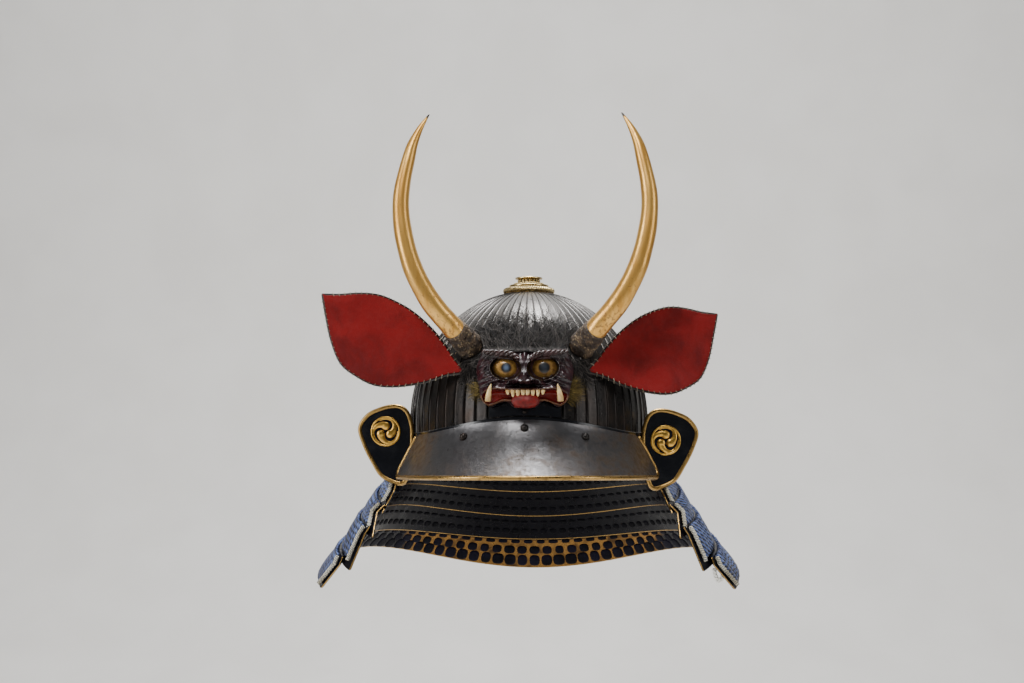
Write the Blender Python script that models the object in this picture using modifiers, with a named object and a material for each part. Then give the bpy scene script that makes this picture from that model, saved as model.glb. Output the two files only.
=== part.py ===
# Ribbed iron samurai helmet (kabuto): a 62-plate bowl with a gilt crown ornament, a demon
# mask with horns, ears and a hide brow, a visor, turned-back wings and a laced neck guard.
# Metres, +Z up. The helmet faces -Y. The origin is the middle of the bowl's mouth, where
# the head sits, and z = 0 is the height of the bowl's rim at the sides.

import math

import bmesh
import bpy
from mathutils import Vector

# Clearance between pieces that touch on the real helmet
GAP = 0.0003

# Bowl: ribbed plates, upright at the rim and domed above
BOWL_WIDTH = 0.206
BOWL_LENGTH = 0.232
BOWL_HEIGHT = 0.128
BOWL_UPRIGHT = 0.014
BOWL_WALL = 0.0022
BROW_ARCH = 0.011
BROW_SPREAD = math.radians(62)
PLATE_COUNT = 62
RIB_HEIGHT = 0.0013
RIB_STEEP_SHARE = 0.16
RIB_CROWN_SHARE = 0.35
CROWN_HOLE = 0.030
BOWL_CLIMB = (0.0, 0.24, 0.46, 0.66, 0.84)

# Crown ornament: turned rings over the hole
ROPE_RING_WIDTH = 0.0448
ROPE_RING_HEIGHT = 0.0034
TIER_WIDTH = 0.0354
BEAD_TIER_WIDTH = 0.0268
TIER_HEIGHT = 0.0019
COLLAR_WIDTH = 0.0184
COLLAR_HEIGHT = 0.0032
FLANGE_WIDTH = 0.0242
FLANGE_HEIGHT = 0.0014
VENT_WIDTH = 0.0120
TURNED_STEPS = 20

# Hoop at the bowl's foot, which carries the visor and the neck guard
BAND_WALL = 0.0014
BAND_RISE = 0.0025
BAND_DROP = 0.0090
BAND_STEPS = PLATE_COUNT

# Visor
VISOR_WALL = 0.0020
VISOR_REACH = 0.034
VISOR_SIDE_REACH = 0.011
VISOR_DROP = 0.034
VISOR_TOP_ANGLE = math.radians(60)
VISOR_EDGE_ANGLE = math.radians(69)
VISOR_FLARE = 1.3
VISOR_CORNER = 0.24
VISOR_CORNER_STEPS = (0.0, 0.12, 0.45, 1.0)
VISOR_ROWS = 4
RIM_RADIUS = 0.0016
VISOR_RIVET = 0.0072
VISOR_RIVETS = {"left": (-0.43, 0.23), "middle": (0.0, 0.15), "right": (0.42, 0.23)}

# Black plate under the mask, and its rivet
HOLDER_WIDTH = 0.058
HOLDER_FOOT = 0.001
HOLDER_TOP = 0.45
HOLDER_WALL = 0.0020
HOLDER_RIVET = 0.0036
HOLDER_RIVET_PLACE = 0.135

# Mask
MASK_WIDTH = 0.078
MASK_HEIGHT = 0.375 * BOWL_HEIGHT
MASK_MIDDLE = 0.345
MASK_RELIEF = 0.030
MASK_EDGE = 0.0040
MASK_EDGE_FADE = 0.65
MASK_EDGE_CURVE = 6
MASK_BODY = 0.20
MASK_NARROWEST = 0.78
MASK_SWELL = (0.15, 0.85)
MASK_COLUMNS = 16
MASK_ROWS = 12
EYE_UP = 0.36
EYE_WIDTH = 0.0200
EYE_HEIGHT = 0.0146
EYE_DEPTH = 0.0090
EYE_SPACING = 0.0294
TOOTH_COUNT = 8
TOOTH_WIDTH = 0.0027
TOOTH_LENGTH = 0.0058
TEETH_SPREAD = 0.0260
TEETH_UP = -0.56
TUSK_LENGTH = 0.0150
TUSK_WIDTH = 0.0054
TUSK_ACROSS = 0.74
TUSK_ROOT = -0.70
TUSK_LEAN = -0.05
TUSK_TAPER = (0.80, 1.0, 0.85, 0.55, 0.10)
TUSK_SEAT = 0.7
TONGUE_WIDTH = 0.0205
TONGUE_LENGTH = 0.0085
TONGUE_DEPTH = 0.0090

# Hide over the brow, and the tufts at the cheeks
HIDE_HEIGHT = 0.036
HIDE_WIDTH = 0.086
HIDE_DEPTH = 0.0050
HIDE_LOCKS = 9
HIDE_FOOT_SHARE = 0.62
HIDE_LOCK_SHARE = 0.14
HIDE_SAG = 0.22
HIDE_SWELL = (0.18, 0.98)
HIDE_LOCK_SWELL = 0.3
HIDE_SIDE_THINNING = 0.7
HIDE_THINNEST = 0.2
TUFT_UP = -0.45
TUFT_LENGTH = 0.013
TUFT_HEIGHT = 0.016
TUFT_DEPTH = 0.0050
TUFT_LOCKS = 5
TUFT_LOCK_SHARE = 0.45
TUFT_TAPER = 0.5
TUFT_STAND_OFF = 0.0015
TUFT_TIP_SHARE = 0.2

# Horns and the cuffs that they stand in
HORN_ROOT_ANGLE = math.radians(31)
HORN_ROOT_HEIGHT = 0.565
HORN_RISE = 0.180
HORN_SPREAD = 0.044
HORN_FORWARD = 0.028
HORN_WIDTH = 0.0180
CUFF_WIDTH = 0.0212
CUFF_LENGTH = 0.024
CUFF_TAPER = (1.10, 1.05, 0.99, 0.92)
HORN_POINTS = 13
HORN_POINT_CURVE = 0.9

# Ears: leather leaves with a red lining
EAR_LENGTH = 0.140
EAR_UPPER = 0.0245
EAR_LOWER = 0.0465
EAR_CUP = 0.0070
EAR_WALL = 0.0016
LINING_WALL = 0.0010
LINING_INSET = 0.0030
EAR_ROOT_ANGLE = math.radians(31)
EAR_ROOT_HEIGHT = 0.400
EAR_STAND_OFF = 0.0011
EAR_TILT = {"left": math.radians(28.8), "right": math.radians(22.5)}
EAR_SWEEP = {"left": math.radians(10), "right": math.radians(30)}

# Neck guard: five lames, each outside the one above it
LAME_WALL = 0.0022
LAME_LAP = 0.0070
LAME_GAP = 0.0016
LAP_LEAN = 0.85
GUARD_SPREAD = 0.078
GUARD_DROP = 0.128
LAME_STEPS = 22
LACING_WALL = 0.0020
LACING_GAP = 0.0010
LOWEST_LACING_GAP = 0.0017
LACING_MARGIN = 0.0042

# Turned-back wings and their crests
WING_PLANE = 0.050
WING_HEIGHT = 0.062
WING_WIDTH = 0.041
WING_FOOT = 0.0385
WING_WALL = 0.0020
WING_SWEEP = 0.007
WING_BEND = 0.35
WING_MIDDLE = (0.5, 0.4)
WING_LIFT = {"left": 0.0, "right": -0.0040}
CREST_WIDTH = 0.0240
CREST_WALL = 0.0024
CREST_HEIGHT = {"left": 0.68, "right": 0.62}
CREST_ACROSS = {"left": 0.49, "right": 0.40}

SIDES = {"left": -1, "right": 1}

# Lame sections: how far each lower edge spreads, the share by which it is narrower at the
# waist, its drop at the back, at the side and at the front corner, as shares of GUARD_SPREAD
# and GUARD_DROP, and the angle from the front where the lame's upper and lower corners end
LAME_COLUMNS = ("spread", "waist", "back", "side", "corner", "upper_end", "lower_end")
LAME_TABLE = (
    (0.16, 0.10, 0.215, 0.190, 0.360, 70, 70),
    (0.41, 0.34, 0.390, 0.323, 0.505, 70, 62),
    (0.62, 0.32, 0.578, 0.475, 0.655, 63, 55),
    (0.83, 0.22, 0.760, 0.660, 0.860, 58, 58),
    (1.00, 0.08, 0.985, 0.785, 0.990, 63, 70),
)
SIDE_TURN = math.radians(62)
CORNER_DROP_CURVE = 1.7
WAIST_TURN = math.radians(85)
WAIST_BACK = math.radians(20)

# Wing outline: height from the foot, inner edge and outer edge, as shares of WING_HEIGHT
# and WING_WIDTH
WING_TABLE = (
    (0.00, 0.13, 0.27),
    (0.10, 0.10, 0.56),
    (0.30, 0.06, 0.74),
    (0.52, 0.02, 0.90),
    (0.72, 0.00, 1.00),
    (0.88, 0.04, 0.86),
    (0.96, 0.12, 0.62),
    (1.00, 0.24, 0.40),
)

# Ear outline: place along the ear, upper and lower half-width, as shares of EAR_LENGTH,
# EAR_UPPER and EAR_LOWER
EAR_TABLE = (
    (0.00, 0.10, 0.05),
    (0.07, 0.26, 0.21),
    (0.16, 0.52, 0.50),
    (0.29, 0.80, 0.80),
    (0.42, 0.97, 0.98),
    (0.55, 1.00, 1.00),
    (0.67, 0.92, 0.94),
    (0.79, 0.66, 0.69),
    (0.90, 0.31, 0.37),
    (1.00, 0.02, 0.02),
)

# Horn centre line beyond the cuff: share of the rise, of the outward spread and of the
# forward reach, and the radius as a share of the root's
HORN_COLUMNS = ("rise", "spread", "forward", "radius")
HORN_TABLE = (
    (0.000, 0.00, 0.50, 1.00),
    (0.130, 0.45, 0.80, 0.97),
    (0.315, 0.82, 0.88, 0.87),
    (0.570, 1.00, 0.80, 0.77),
    (0.820, 0.84, 0.62, 0.55),
    (0.920, 0.69, 0.52, 0.32),
    (1.000, 0.50, 0.44, 0.08),
)

# Mask relief: each feature's name, its middle across and up from the mask's middle and its
# half-widths across and up, as shares of half MASK_WIDTH and half MASK_HEIGHT, its height
# as a share of MASK_RELIEF, and how far it leans, up per unit across
RELIEF_TABLE = (
    ("forehead", 0.00, 0.80, 0.90, 0.50, 0.14, 0.00),
    ("brow", 0.46, 0.90, 0.52, 0.20, 0.34, 0.18),
    ("brow_knot", 0.16, 0.66, 0.14, 0.34, 0.22, 0.00),
    ("nose", 0.00, 0.28, 0.13, 0.80, 0.30, 0.00),
    ("nose_tip", 0.00, -0.02, 0.16, 0.30, 0.30, 0.00),
    ("nostril", 0.20, -0.20, 0.15, 0.17, 0.24, 0.00),
    ("eye_socket", 0.376, 0.36, 0.30, 0.42, -0.18, 0.00),
    ("cheek", 0.66, -0.16, 0.28, 0.26, 0.26, 0.25),
    ("upper_lip", 0.20, -0.42, 0.50, 0.14, 0.22, -0.10),
    ("mouth", 0.00, -0.68, 0.60, 0.24, -0.12, 0.00),
    ("jaw_corner", 0.74, -0.66, 0.18, 0.26, 0.12, 0.00),
)

# Plain finishes: sRGB colour, roughness and metallic value
COLOURS = {
    "russet_iron": ("2A2826", 0.38, 0.85),
    "gilt_copper": ("C9A868", 0.36, 1.0),
    "black_lacquer": ("101218", 0.22, 0.0),
    "brown_lacquer": ("2E1B1F", 0.25, 0.0),
    "gilt_horn": ("CF9C4E", 0.38, 0.8),
    "cuff_hide": ("4A3428", 0.75, 0.0),
    "dark_leather": ("241E1B", 0.65, 0.0),
    "red_leather": ("9C2320", 0.80, 0.0),
    "dark_hair": ("2A2928", 0.80, 0.0),
    "brass_eye": ("A8803A", 0.35, 1.0),
    "bone": ("DCC08A", 0.45, 0.0),
    "red_lacquer": ("A8302C", 0.35, 0.0),
    "blue_silk": ("4A5F9A", 0.70, 0.0),
}


def empty_scene():
    """Remove the objects that the file starts with and make the helmet's collection."""
    for thing in list(bpy.data.objects):
        bpy.data.objects.remove(thing)
    collection = bpy.data.collections.new("kabuto_helmet")
    bpy.context.scene.collection.children.link(collection)


def linear(channel):
    """Turn one sRGB channel, 0 to 1, into scene-linear light."""
    return channel / 12.92 if channel <= 0.04045 else ((channel + 0.055) / 1.055) ** 2.4


def material(name):
    """A Principled material with the piece's plain colour, roughness and metallic value."""
    if name in bpy.data.materials:
        return bpy.data.materials[name]
    code, roughness, metallic = COLOURS[name]
    made = bpy.data.materials.new(name)
    made.use_nodes = True
    shader = made.node_tree.nodes["Principled BSDF"]
    channels = [linear(int(code[start:start + 2], 16) / 255) for start in (0, 2, 4)]
    shader.inputs["Base Color"].default_value = (*channels, 1.0)
    shader.inputs["Roughness"].default_value = roughness
    shader.inputs["Metallic"].default_value = metallic
    return made


def place_mesh(name, mesh, finish):
    """Put a mesh in the helmet's collection as one named piece."""
    mesh.materials.append(material(finish))
    mesh.shade_smooth()
    mesh.set_sharp_from_angle(angle=math.radians(40))
    piece = bpy.data.objects.new(name, mesh)
    bpy.data.collections["kabuto_helmet"].objects.link(piece)
    return piece


def mesh_from(name, points, faces):
    """A mesh with its faces turned outwards."""
    mesh = bpy.data.meshes.new(name)
    mesh.from_pydata([tuple(point) for point in points], [], faces)
    return outward(mesh)


def outward(mesh):
    """Turn every face of a closed mesh outwards."""
    work = bmesh.new()
    work.from_mesh(mesh)
    bmesh.ops.recalc_face_normals(work, faces=work.faces)
    work.to_mesh(mesh)
    work.free()
    return mesh


def grid_faces(rows, columns, wrap, start=0):
    """Four-sided faces between neighbouring rows of points."""
    faces = []
    for row in range(rows - 1):
        for column in range(columns if wrap else columns - 1):
            after = (column + 1) % columns
            low, high = start + row * columns, start + (row + 1) * columns
            faces.append((low + column, low + after, high + after, high + column))
    return faces


def shell_between(name, outer, inner, wrap, finish):
    """A closed wall between two surfaces, each a list of rows of as many points."""
    rows, columns = len(outer), len(outer[0])
    count = rows * columns
    points = [point for row in outer for point in row] + [point for row in inner for point in row]
    faces = grid_faces(rows, columns, wrap) + grid_faces(rows, columns, wrap, count)
    for row in (0, rows - 1):
        start = row * columns
        for column in range(columns if wrap else columns - 1):
            after = start + (column + 1) % columns
            faces.append((start + column, after, count + after, count + start + column))
    if not wrap:
        for column in (0, columns - 1):
            for row in range(rows - 1):
                low, high = row * columns + column, (row + 1) * columns + column
                faces.append((low, high, count + high, count + low))
    return place_mesh(name, mesh_from(name, points, faces), finish)


def sheet(name, rows, wall, finish, offset):
    """An open surface of rows of points, given its wall by Solidify."""
    mesh = bpy.data.meshes.new(name)
    points = [tuple(point) for row in rows for point in row]
    mesh.from_pydata(points, [], grid_faces(len(rows), len(rows[0]), False))
    piece = place_mesh(name, mesh, finish)
    solidify = piece.modifiers.new("wall", "SOLIDIFY")
    solidify.thickness = wall
    solidify.offset = offset
    solidify.use_even_offset = True
    return piece


def tube(name, points, radius, shares, finish, sides_resolution):
    """A tube along points: a curve with a bevel and filled caps, its radius given in shares."""
    curve = bpy.data.curves.new(name, "CURVE")
    curve.dimensions = "3D"
    curve.bevel_depth = radius
    curve.bevel_resolution = sides_resolution
    curve.use_fill_caps = True
    spline = curve.splines.new("POLY")
    spline.points.add(len(points) - 1)
    for knot, point, share in zip(spline.points, points, shares):
        knot.co = (*point, 1.0)
        knot.radius = share
    curve.materials.append(material(finish))
    piece = bpy.data.objects.new(name, curve)
    bpy.data.collections["kabuto_helmet"].objects.link(piece)
    return piece


def turned(name, profile, bottom, finish):
    """A ring turned about Z: its section runs down the outer side and back up the inner."""
    mesh = bpy.data.meshes.new(name)
    count = len(profile)
    edges = [(index, (index + 1) % count) for index in range(count)]
    mesh.from_pydata([(radius, 0.0, height) for radius, height in profile], edges, [])
    piece = place_mesh(name, mesh, finish)
    piece.location.z = bottom
    screw = piece.modifiers.new("turn", "SCREW")
    screw.axis = "Z"
    screw.steps = TURNED_STEPS
    screw.render_steps = TURNED_STEPS
    screw.use_merge_vertices = True
    screw.merge_threshold = 0.00005
    return piece


def dome(name, place, normal, width, finish):
    """A rivet head: the upper half of a sphere, flattened, with its flat side on the plate."""
    work = bmesh.new()
    bmesh.ops.create_uvsphere(work, u_segments=8, v_segments=6, radius=width / 2)
    geometry = work.verts[:] + work.edges[:] + work.faces[:]
    bmesh.ops.bisect_plane(work, geom=geometry, plane_co=(0, 0, 0), plane_no=(0, 0, 1), clear_inner=True)
    bmesh.ops.holes_fill(work, edges=[edge for edge in work.edges if edge.is_boundary], sides=0)
    bmesh.ops.recalc_face_normals(work, faces=work.faces)
    mesh = bpy.data.meshes.new(name)
    work.to_mesh(mesh)
    work.free()
    piece = place_mesh(name, mesh, finish)
    piece.rotation_mode = "QUATERNION"
    piece.rotation_quaternion = Vector((0, 0, 1)).rotation_difference(normal)
    piece.location = place
    return piece


def ball(name, place, width, depth, height, finish, segments=10, rings=6):
    """A flattened ball: a sphere with its three sizes."""
    work = bmesh.new()
    bmesh.ops.create_uvsphere(work, u_segments=segments, v_segments=rings, radius=0.5)
    bmesh.ops.scale(work, verts=work.verts, vec=(width, depth, height))
    mesh = bpy.data.meshes.new(name)
    work.to_mesh(mesh)
    work.free()
    piece = place_mesh(name, mesh, finish)
    piece.location = place
    return piece


def blend(start, end, share):
    """The value or point a share of the way from start to end."""
    return start + (end - start) * share


def rim_height(angle):
    """Height of the bowl's rim at an angle from the front: it rises over the brow."""
    turn = abs(math.remainder(angle, 2 * math.pi)) / BROW_SPREAD
    return BROW_ARCH * math.cos(turn * math.pi / 2) ** 2 if turn < 1 else 0.0


def oval(angle, offset, height):
    """A point on the bowl's plan, grown by an offset, at an angle from the front."""
    across = (BOWL_WIDTH / 2 + offset) * math.sin(angle)
    along = -(BOWL_LENGTH / 2 + offset) * math.cos(angle)
    return Vector((across, along, height))


def bowl_ring(angle, climb, offset):
    """A point on the dome at a climb angle above its upright part."""
    rise = BOWL_UPRIGHT + (BOWL_HEIGHT - BOWL_UPRIGHT + offset) * math.sin(climb)
    flat = oval(angle, offset, 0.0) * math.cos(climb)
    return Vector((flat.x, flat.y, rise))


def bowl_point(angle, height, offset):
    """A point on the bowl's plates at an angle from the front and a height."""
    dome_height = BOWL_HEIGHT - BOWL_UPRIGHT + offset
    climb = math.asin(min(max(height - BOWL_UPRIGHT, 0.0) / dome_height, 1.0))
    flat = oval(angle, offset, 0.0) * math.cos(climb)
    return Vector((flat.x, flat.y, height))


def bowl_climbs():
    """Climb angles of the bowl's rows, from its upright part to the crown hole."""
    crown = math.acos(CROWN_HOLE / BOWL_WIDTH)
    return [crown * share for share in BOWL_CLIMB] + [crown]


def plate_point(angle, height, offset):
    """A point on the straight run between the two of the bowl's rows round a height."""
    climbs = bowl_climbs()
    ends = [(bowl_ring(angle, low, offset), bowl_ring(angle, high, offset))
            for low, high in zip(climbs, climbs[1:])]
    start, end = next(pair for pair in ends if height <= pair[1].z)
    return blend(start, end, (height - start.z) / (end.z - start.z))


def bowl_front(across, height, offset):
    """A point on the front of the bowl, given how far across it lies."""
    level = bowl_point(math.pi / 2, height, offset).x
    angle = math.asin(max(min(across / level, 1.0), -1.0))
    return bowl_point(angle, height, offset)


def bowl_normal(angle, height):
    """The bowl's outward direction at an angle from the front and a height."""
    nearby = 0.01
    along = bowl_point(angle + nearby, height, 0.0) - bowl_point(angle - nearby, height, 0.0)
    step = nearby * BOWL_HEIGHT
    upward = bowl_point(angle, height + step, 0.0) - bowl_point(angle, height - step, 0.0)
    return along.cross(upward).normalized()


def make_bowl():
    """The ribbed bowl: each plate rises to a rib that stands over the next plate."""
    pitch = 2 * math.pi / PLATE_COUNT
    points, faces, outer_rows, inner_rows = [], [], [], []

    def add_row(rows, row):
        rows.append(range(len(points), len(points) + len(row)))
        points.extend(row)

    def outer_row(level):
        row = []
        for plate in range(PLATE_COUNT):
            for turn, rib in ((0.0, RIB_HEIGHT), (RIB_STEEP_SHARE, 0.0)):
                angle = (plate + turn) * pitch
                row.append(level(angle, rib))
        return row

    add_row(outer_rows, outer_row(lambda angle, rib: oval(angle, rib, rim_height(angle))))
    add_row(inner_rows, [oval(plate * pitch, -BOWL_WALL, rim_height(plate * pitch))
                         for plate in range(PLATE_COUNT)])
    for climb in bowl_climbs():
        fade = blend(RIB_CROWN_SHARE, 1.0, math.cos(climb))
        add_row(outer_rows, outer_row(lambda angle, rib: bowl_ring(angle, climb, rib * fade)))
        add_row(inner_rows, [bowl_ring(plate * pitch, climb, -BOWL_WALL) for plate in range(PLATE_COUNT)])
    for rows in (outer_rows, inner_rows):
        for low, high in zip(rows, rows[1:]):
            for column in range(len(low)):
                after = (column + 1) % len(low)
                faces.append((low[column], low[after], high[after], high[column]))
    for outer, inner in ((outer_rows[0], inner_rows[0]), (outer_rows[-1], inner_rows[-1])):
        for plate in range(PLATE_COUNT):
            after = (plate + 1) % PLATE_COUNT
            middle, end = outer[2 * plate + 1], outer[(2 * plate + 2) % len(outer)]
            faces.append((outer[2 * plate], middle, inner[plate]))
            faces.append((middle, end, inner[after], inner[plate]))
    place_mesh("bowl", mesh_from("bowl", points, faces), "russet_iron")


def make_crown():
    """The crown ornament: a rope ring, two tiers and a flanged collar, open in the middle."""
    ring, tier, beads = ROPE_RING_WIDTH / 2, TIER_WIDTH / 2, BEAD_TIER_WIDTH / 2
    collar, flange, vent = COLLAR_WIDTH / 2, FLANGE_WIDTH / 2, VENT_WIDTH / 2
    hole = CROWN_HOLE / 2
    seat = crown_seat()
    step = ROPE_RING_HEIGHT / 2
    turned("crown_rope_ring", [
        (hole, ROPE_RING_HEIGHT), (ring - step, ROPE_RING_HEIGHT), (ring, step),
        (ring - step, seat_height(ring) - seat_height(hole)), (hole, 0.0),
    ], seat, "gilt_copper")
    level = seat + ROPE_RING_HEIGHT + GAP
    turned("crown_tiers", [
        (vent, 2 * TIER_HEIGHT), (beads, 2 * TIER_HEIGHT), (beads, TIER_HEIGHT),
        (tier, TIER_HEIGHT), (tier, 0.0), (vent, 0.0),
    ], level, "gilt_copper")
    level += 2 * TIER_HEIGHT + GAP
    top = COLLAR_HEIGHT + FLANGE_HEIGHT
    turned("crown_collar", [
        (vent, top), (flange, top), (flange, COLLAR_HEIGHT), (collar, COLLAR_HEIGHT),
        (collar, 0.0), (vent, 0.0),
    ], level, "gilt_copper")


def seat_height(radius):
    """Height of the dome's ribs under a turned ring at a radius from the crown's middle."""
    share = radius / (BOWL_LENGTH / 2 + RIB_HEIGHT)
    return BOWL_UPRIGHT + (BOWL_HEIGHT - BOWL_UPRIGHT + RIB_HEIGHT) * math.sqrt(1 - share ** 2)


def crown_seat():
    """Height at which the rope ring sits on the ribs round the crown hole."""
    return seat_height(CROWN_HOLE / 2) + GAP


def band_inner():
    """Offset of the hoop's inner face from the bowl's plates."""
    return RIB_HEIGHT + GAP


def band_outer():
    """Offset of the hoop's outer face from the bowl's plates."""
    return band_inner() + BAND_WALL


def make_band():
    """The hoop round the bowl's foot."""
    angles = [2 * math.pi * step / BAND_STEPS for step in range(BAND_STEPS)]
    walls = []
    for offset in (band_outer(), band_inner()):
        walls.append([[oval(angle, offset, rim_height(angle) + rise) for angle in angles]
                      for rise in (-BAND_DROP, BAND_RISE)])
    shell_between("base_band", walls[0], walls[1], True, "black_lacquer")


def visor_point(across, down):
    """A point on the visor's upper face: across from -1 to 1, down from 0 to 1."""
    seat = band_outer() + GAP + VISOR_WALL
    top_angle = across * VISOR_TOP_ANGLE
    edge_angle = across * VISOR_EDGE_ANGLE
    top = oval(top_angle, seat, rim_height(top_angle))
    edge = Vector(((BOWL_WIDTH / 2 + seat + VISOR_SIDE_REACH) * math.sin(edge_angle),
                   -(BOWL_LENGTH / 2 + seat + VISOR_REACH) * math.cos(edge_angle), -VISOR_DROP))
    flare = down ** VISOR_FLARE
    return Vector((blend(top.x, edge.x, flare), blend(top.y, edge.y, flare), blend(top.z, edge.z, down)))


def visor_reach(across):
    """How far down the visor goes: all the way, but for its rounded corners."""
    start = 1 - VISOR_CORNER / 3
    turn = max(abs(across) - start, 0.0) / (1 - start)
    return 1 - VISOR_CORNER * (1 - math.sqrt(1 - turn ** 2))


def beside(border, inner, distance):
    """Points a distance outside a border, on the side away from the inner points."""
    moved = []
    last = len(border) - 1
    for index, (point, within) in enumerate(zip(border, inner)):
        tangent = (border[min(index + 1, last)] - border[max(index - 1, 0)]).normalized()
        away = point - within
        away -= tangent * away.dot(tangent)
        moved.append(point + away.normalized() * distance)
    return moved


def make_visor():
    """The visor plate, its gilt rim along the sides and the lower edge, and three rivets."""
    corner = VISOR_CORNER / 3
    turns = [1 - corner * share for share in VISOR_CORNER_STEPS]
    steps = [blend(-turns[-1], turns[-1], step / 12) for step in range(1, 12)]
    spans = [-turn for turn in turns] + steps + turns[::-1]
    rows = [[visor_point(span, row / VISOR_ROWS * visor_reach(span)) for span in spans]
            for row in range(VISOR_ROWS + 1)]
    sheet("visor", rows, VISOR_WALL, "russet_iron", 1.0)

    side = [down * visor_reach(1.0) for down in (0.10, 0.4, 0.7)]
    border = [visor_point(-1.0, down) for down in side]
    within = [visor_point(-0.9, down) for down in side]
    border += [visor_point(span, visor_reach(span)) for span in spans]
    within += [visor_point(span * 0.96, visor_reach(span) - 0.1) for span in spans]
    border += [visor_point(1.0, down) for down in side[::-1]]
    within += [visor_point(0.9, down) for down in side[::-1]]
    path = beside(border, within, RIM_RADIUS + GAP)
    tube("visor_rim", path, RIM_RADIUS, [1.0] * len(path), "gilt_copper", 1)

    for name, (across, down) in VISOR_RIVETS.items():
        place, normal = visor_face(across, down)
        dome("visor_rivet_" + name, place + normal * GAP * 2, normal, VISOR_RIVET, "russet_iron")


def visor_face(across, down):
    """A place on the visor's upper face and its outward direction."""
    nearby = 0.01
    along = visor_point(across + nearby, down) - visor_point(across - nearby, down)
    upward = visor_point(across, down - nearby) - visor_point(across, down + nearby)
    return visor_point(across, down), along.cross(upward).normalized()


def holder_outer():
    """Offset of the holder plate's outer face from the bowl's plates."""
    return RIB_HEIGHT + GAP + HOLDER_WALL


def make_holder():
    """The smooth plate on the front of the bowl that carries the mask, and its rivet."""
    foot = rim_height(0.0) + BAND_RISE + HOLDER_FOOT
    heights = [blend(foot, HOLDER_TOP * BOWL_HEIGHT, step / 4) for step in range(5)]
    spans = [HOLDER_WIDTH / 2 * (step / 4 - 1) for step in range(9)]
    walls = [[[bowl_front(across, height, offset) for across in spans] for height in heights]
             for offset in (holder_outer(), RIB_HEIGHT + GAP)]
    shell_between("mask_holder", walls[0], walls[1], False, "black_lacquer")
    height = HOLDER_RIVET_PLACE * BOWL_HEIGHT
    place = bowl_point(0.0, height, holder_outer() + GAP)
    dome("holder_rivet", place, bowl_normal(0.0, height), HOLDER_RIVET, "russet_iron")


def mask_relief(across, up):
    """Height of the mask's carving at a place, as shares of its half-width and half-height."""
    total = 0.0
    for _, middle, level, wide, tall, height, lean in RELIEF_TABLE:
        for side in (-1, 1) if middle else (1,):
            reach = (across * side - middle) / wide
            lift = (up - level - lean * (across * side - middle)) / tall
            total += height * math.exp(-(reach ** 2 + lift ** 2))
    return total


def mask_level(up):
    """Height above the rim of a place on the mask."""
    return MASK_MIDDLE * BOWL_HEIGHT + up * MASK_HEIGHT / 2


def mask_back(across, up):
    """A point on the mask's back, just off the holder plate and the bowl."""
    return bowl_front(across * MASK_WIDTH / 2, mask_level(up), holder_outer() + GAP)


def mask_front(across, up):
    """A point on the mask's carved face, which looks straight ahead."""
    back = mask_back(across, up)
    plane = bowl_front(0.0, mask_level(0.0), holder_outer() + GAP).y
    edge = max(abs(across), abs(up)) ** MASK_EDGE_CURVE
    carving = mask_relief(across, up) * (1 - MASK_EDGE_FADE * edge) + MASK_BODY * (1 - edge)
    depth = MASK_EDGE + carving * MASK_RELIEF
    reach = min(back.y, (back.y + plane) / 2) - depth
    return Vector((back.x, min(reach, back.y - MASK_EDGE), back.z))


def mask_outline(row_share):
    """Half-width of the mask at a height share, 0 at the chin and 1 at the brow."""
    return blend(MASK_NARROWEST, 1.0, math.sin(math.pi * blend(*MASK_SWELL, row_share)))


def make_mask():
    """The carved demon mask, with its eyes, teeth, tusks and tongue."""
    front, back = [], []
    for row in range(MASK_ROWS + 1):
        share = row / MASK_ROWS
        spans = [(2 * column / MASK_COLUMNS - 1) * mask_outline(share) for column in range(MASK_COLUMNS + 1)]
        up = 2 * share - 1
        front.append([mask_front(across, up) for across in spans])
        back.append([mask_back(across, up) for across in spans])
    shell_between("mask", front, back, False, "brown_lacquer")

    for name, side in SIDES.items():
        place = seated(side * EYE_SPACING / MASK_WIDTH, EYE_UP, EYE_WIDTH, EYE_DEPTH, EYE_HEIGHT)
        ball("eye_" + name, place, EYE_WIDTH, EYE_DEPTH, EYE_HEIGHT, "brass_eye")
        tusk_path(name, side)
    for number in range(TOOTH_COUNT):
        across = TEETH_SPREAD * (number / (TOOTH_COUNT - 1) - 0.5) / (MASK_WIDTH / 2)
        place = seated(across, TEETH_UP, TOOTH_WIDTH, TOOTH_WIDTH, TOOTH_LENGTH)
        ball("tooth_%d" % (number + 1), place, TOOTH_WIDTH, TOOTH_WIDTH, TOOTH_LENGTH, "bone", 6, 4)
    tongue_up = TEETH_UP - (TOOTH_LENGTH + TONGUE_LENGTH + 2 * GAP) / MASK_HEIGHT
    place = seated(0.0, tongue_up, TONGUE_WIDTH, TONGUE_DEPTH, TONGUE_LENGTH)
    ball("tongue", place, TONGUE_WIDTH, TONGUE_DEPTH, TONGUE_LENGTH, "red_lacquer")


def mask_depth(across, up):
    """How far forward the mask's face comes at a place, between the corners of its faces."""
    level = min(max((up + 1) / 2, 0.0), 1.0) * MASK_ROWS
    low = min(int(level), MASK_ROWS - 1)
    depths = []
    for row in (low, low + 1):
        outline = mask_outline(row / MASK_ROWS)
        column = min(max((across / outline + 1) / 2, 0.0), 1.0) * MASK_COLUMNS
        left = min(int(column), MASK_COLUMNS - 1)
        ends = [mask_front((2 * end / MASK_COLUMNS - 1) * outline, 2 * row / MASK_ROWS - 1).y
                for end in (left, left + 1)]
        depths.append(blend(*ends, column - left))
    return blend(*depths, level - low)


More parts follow.
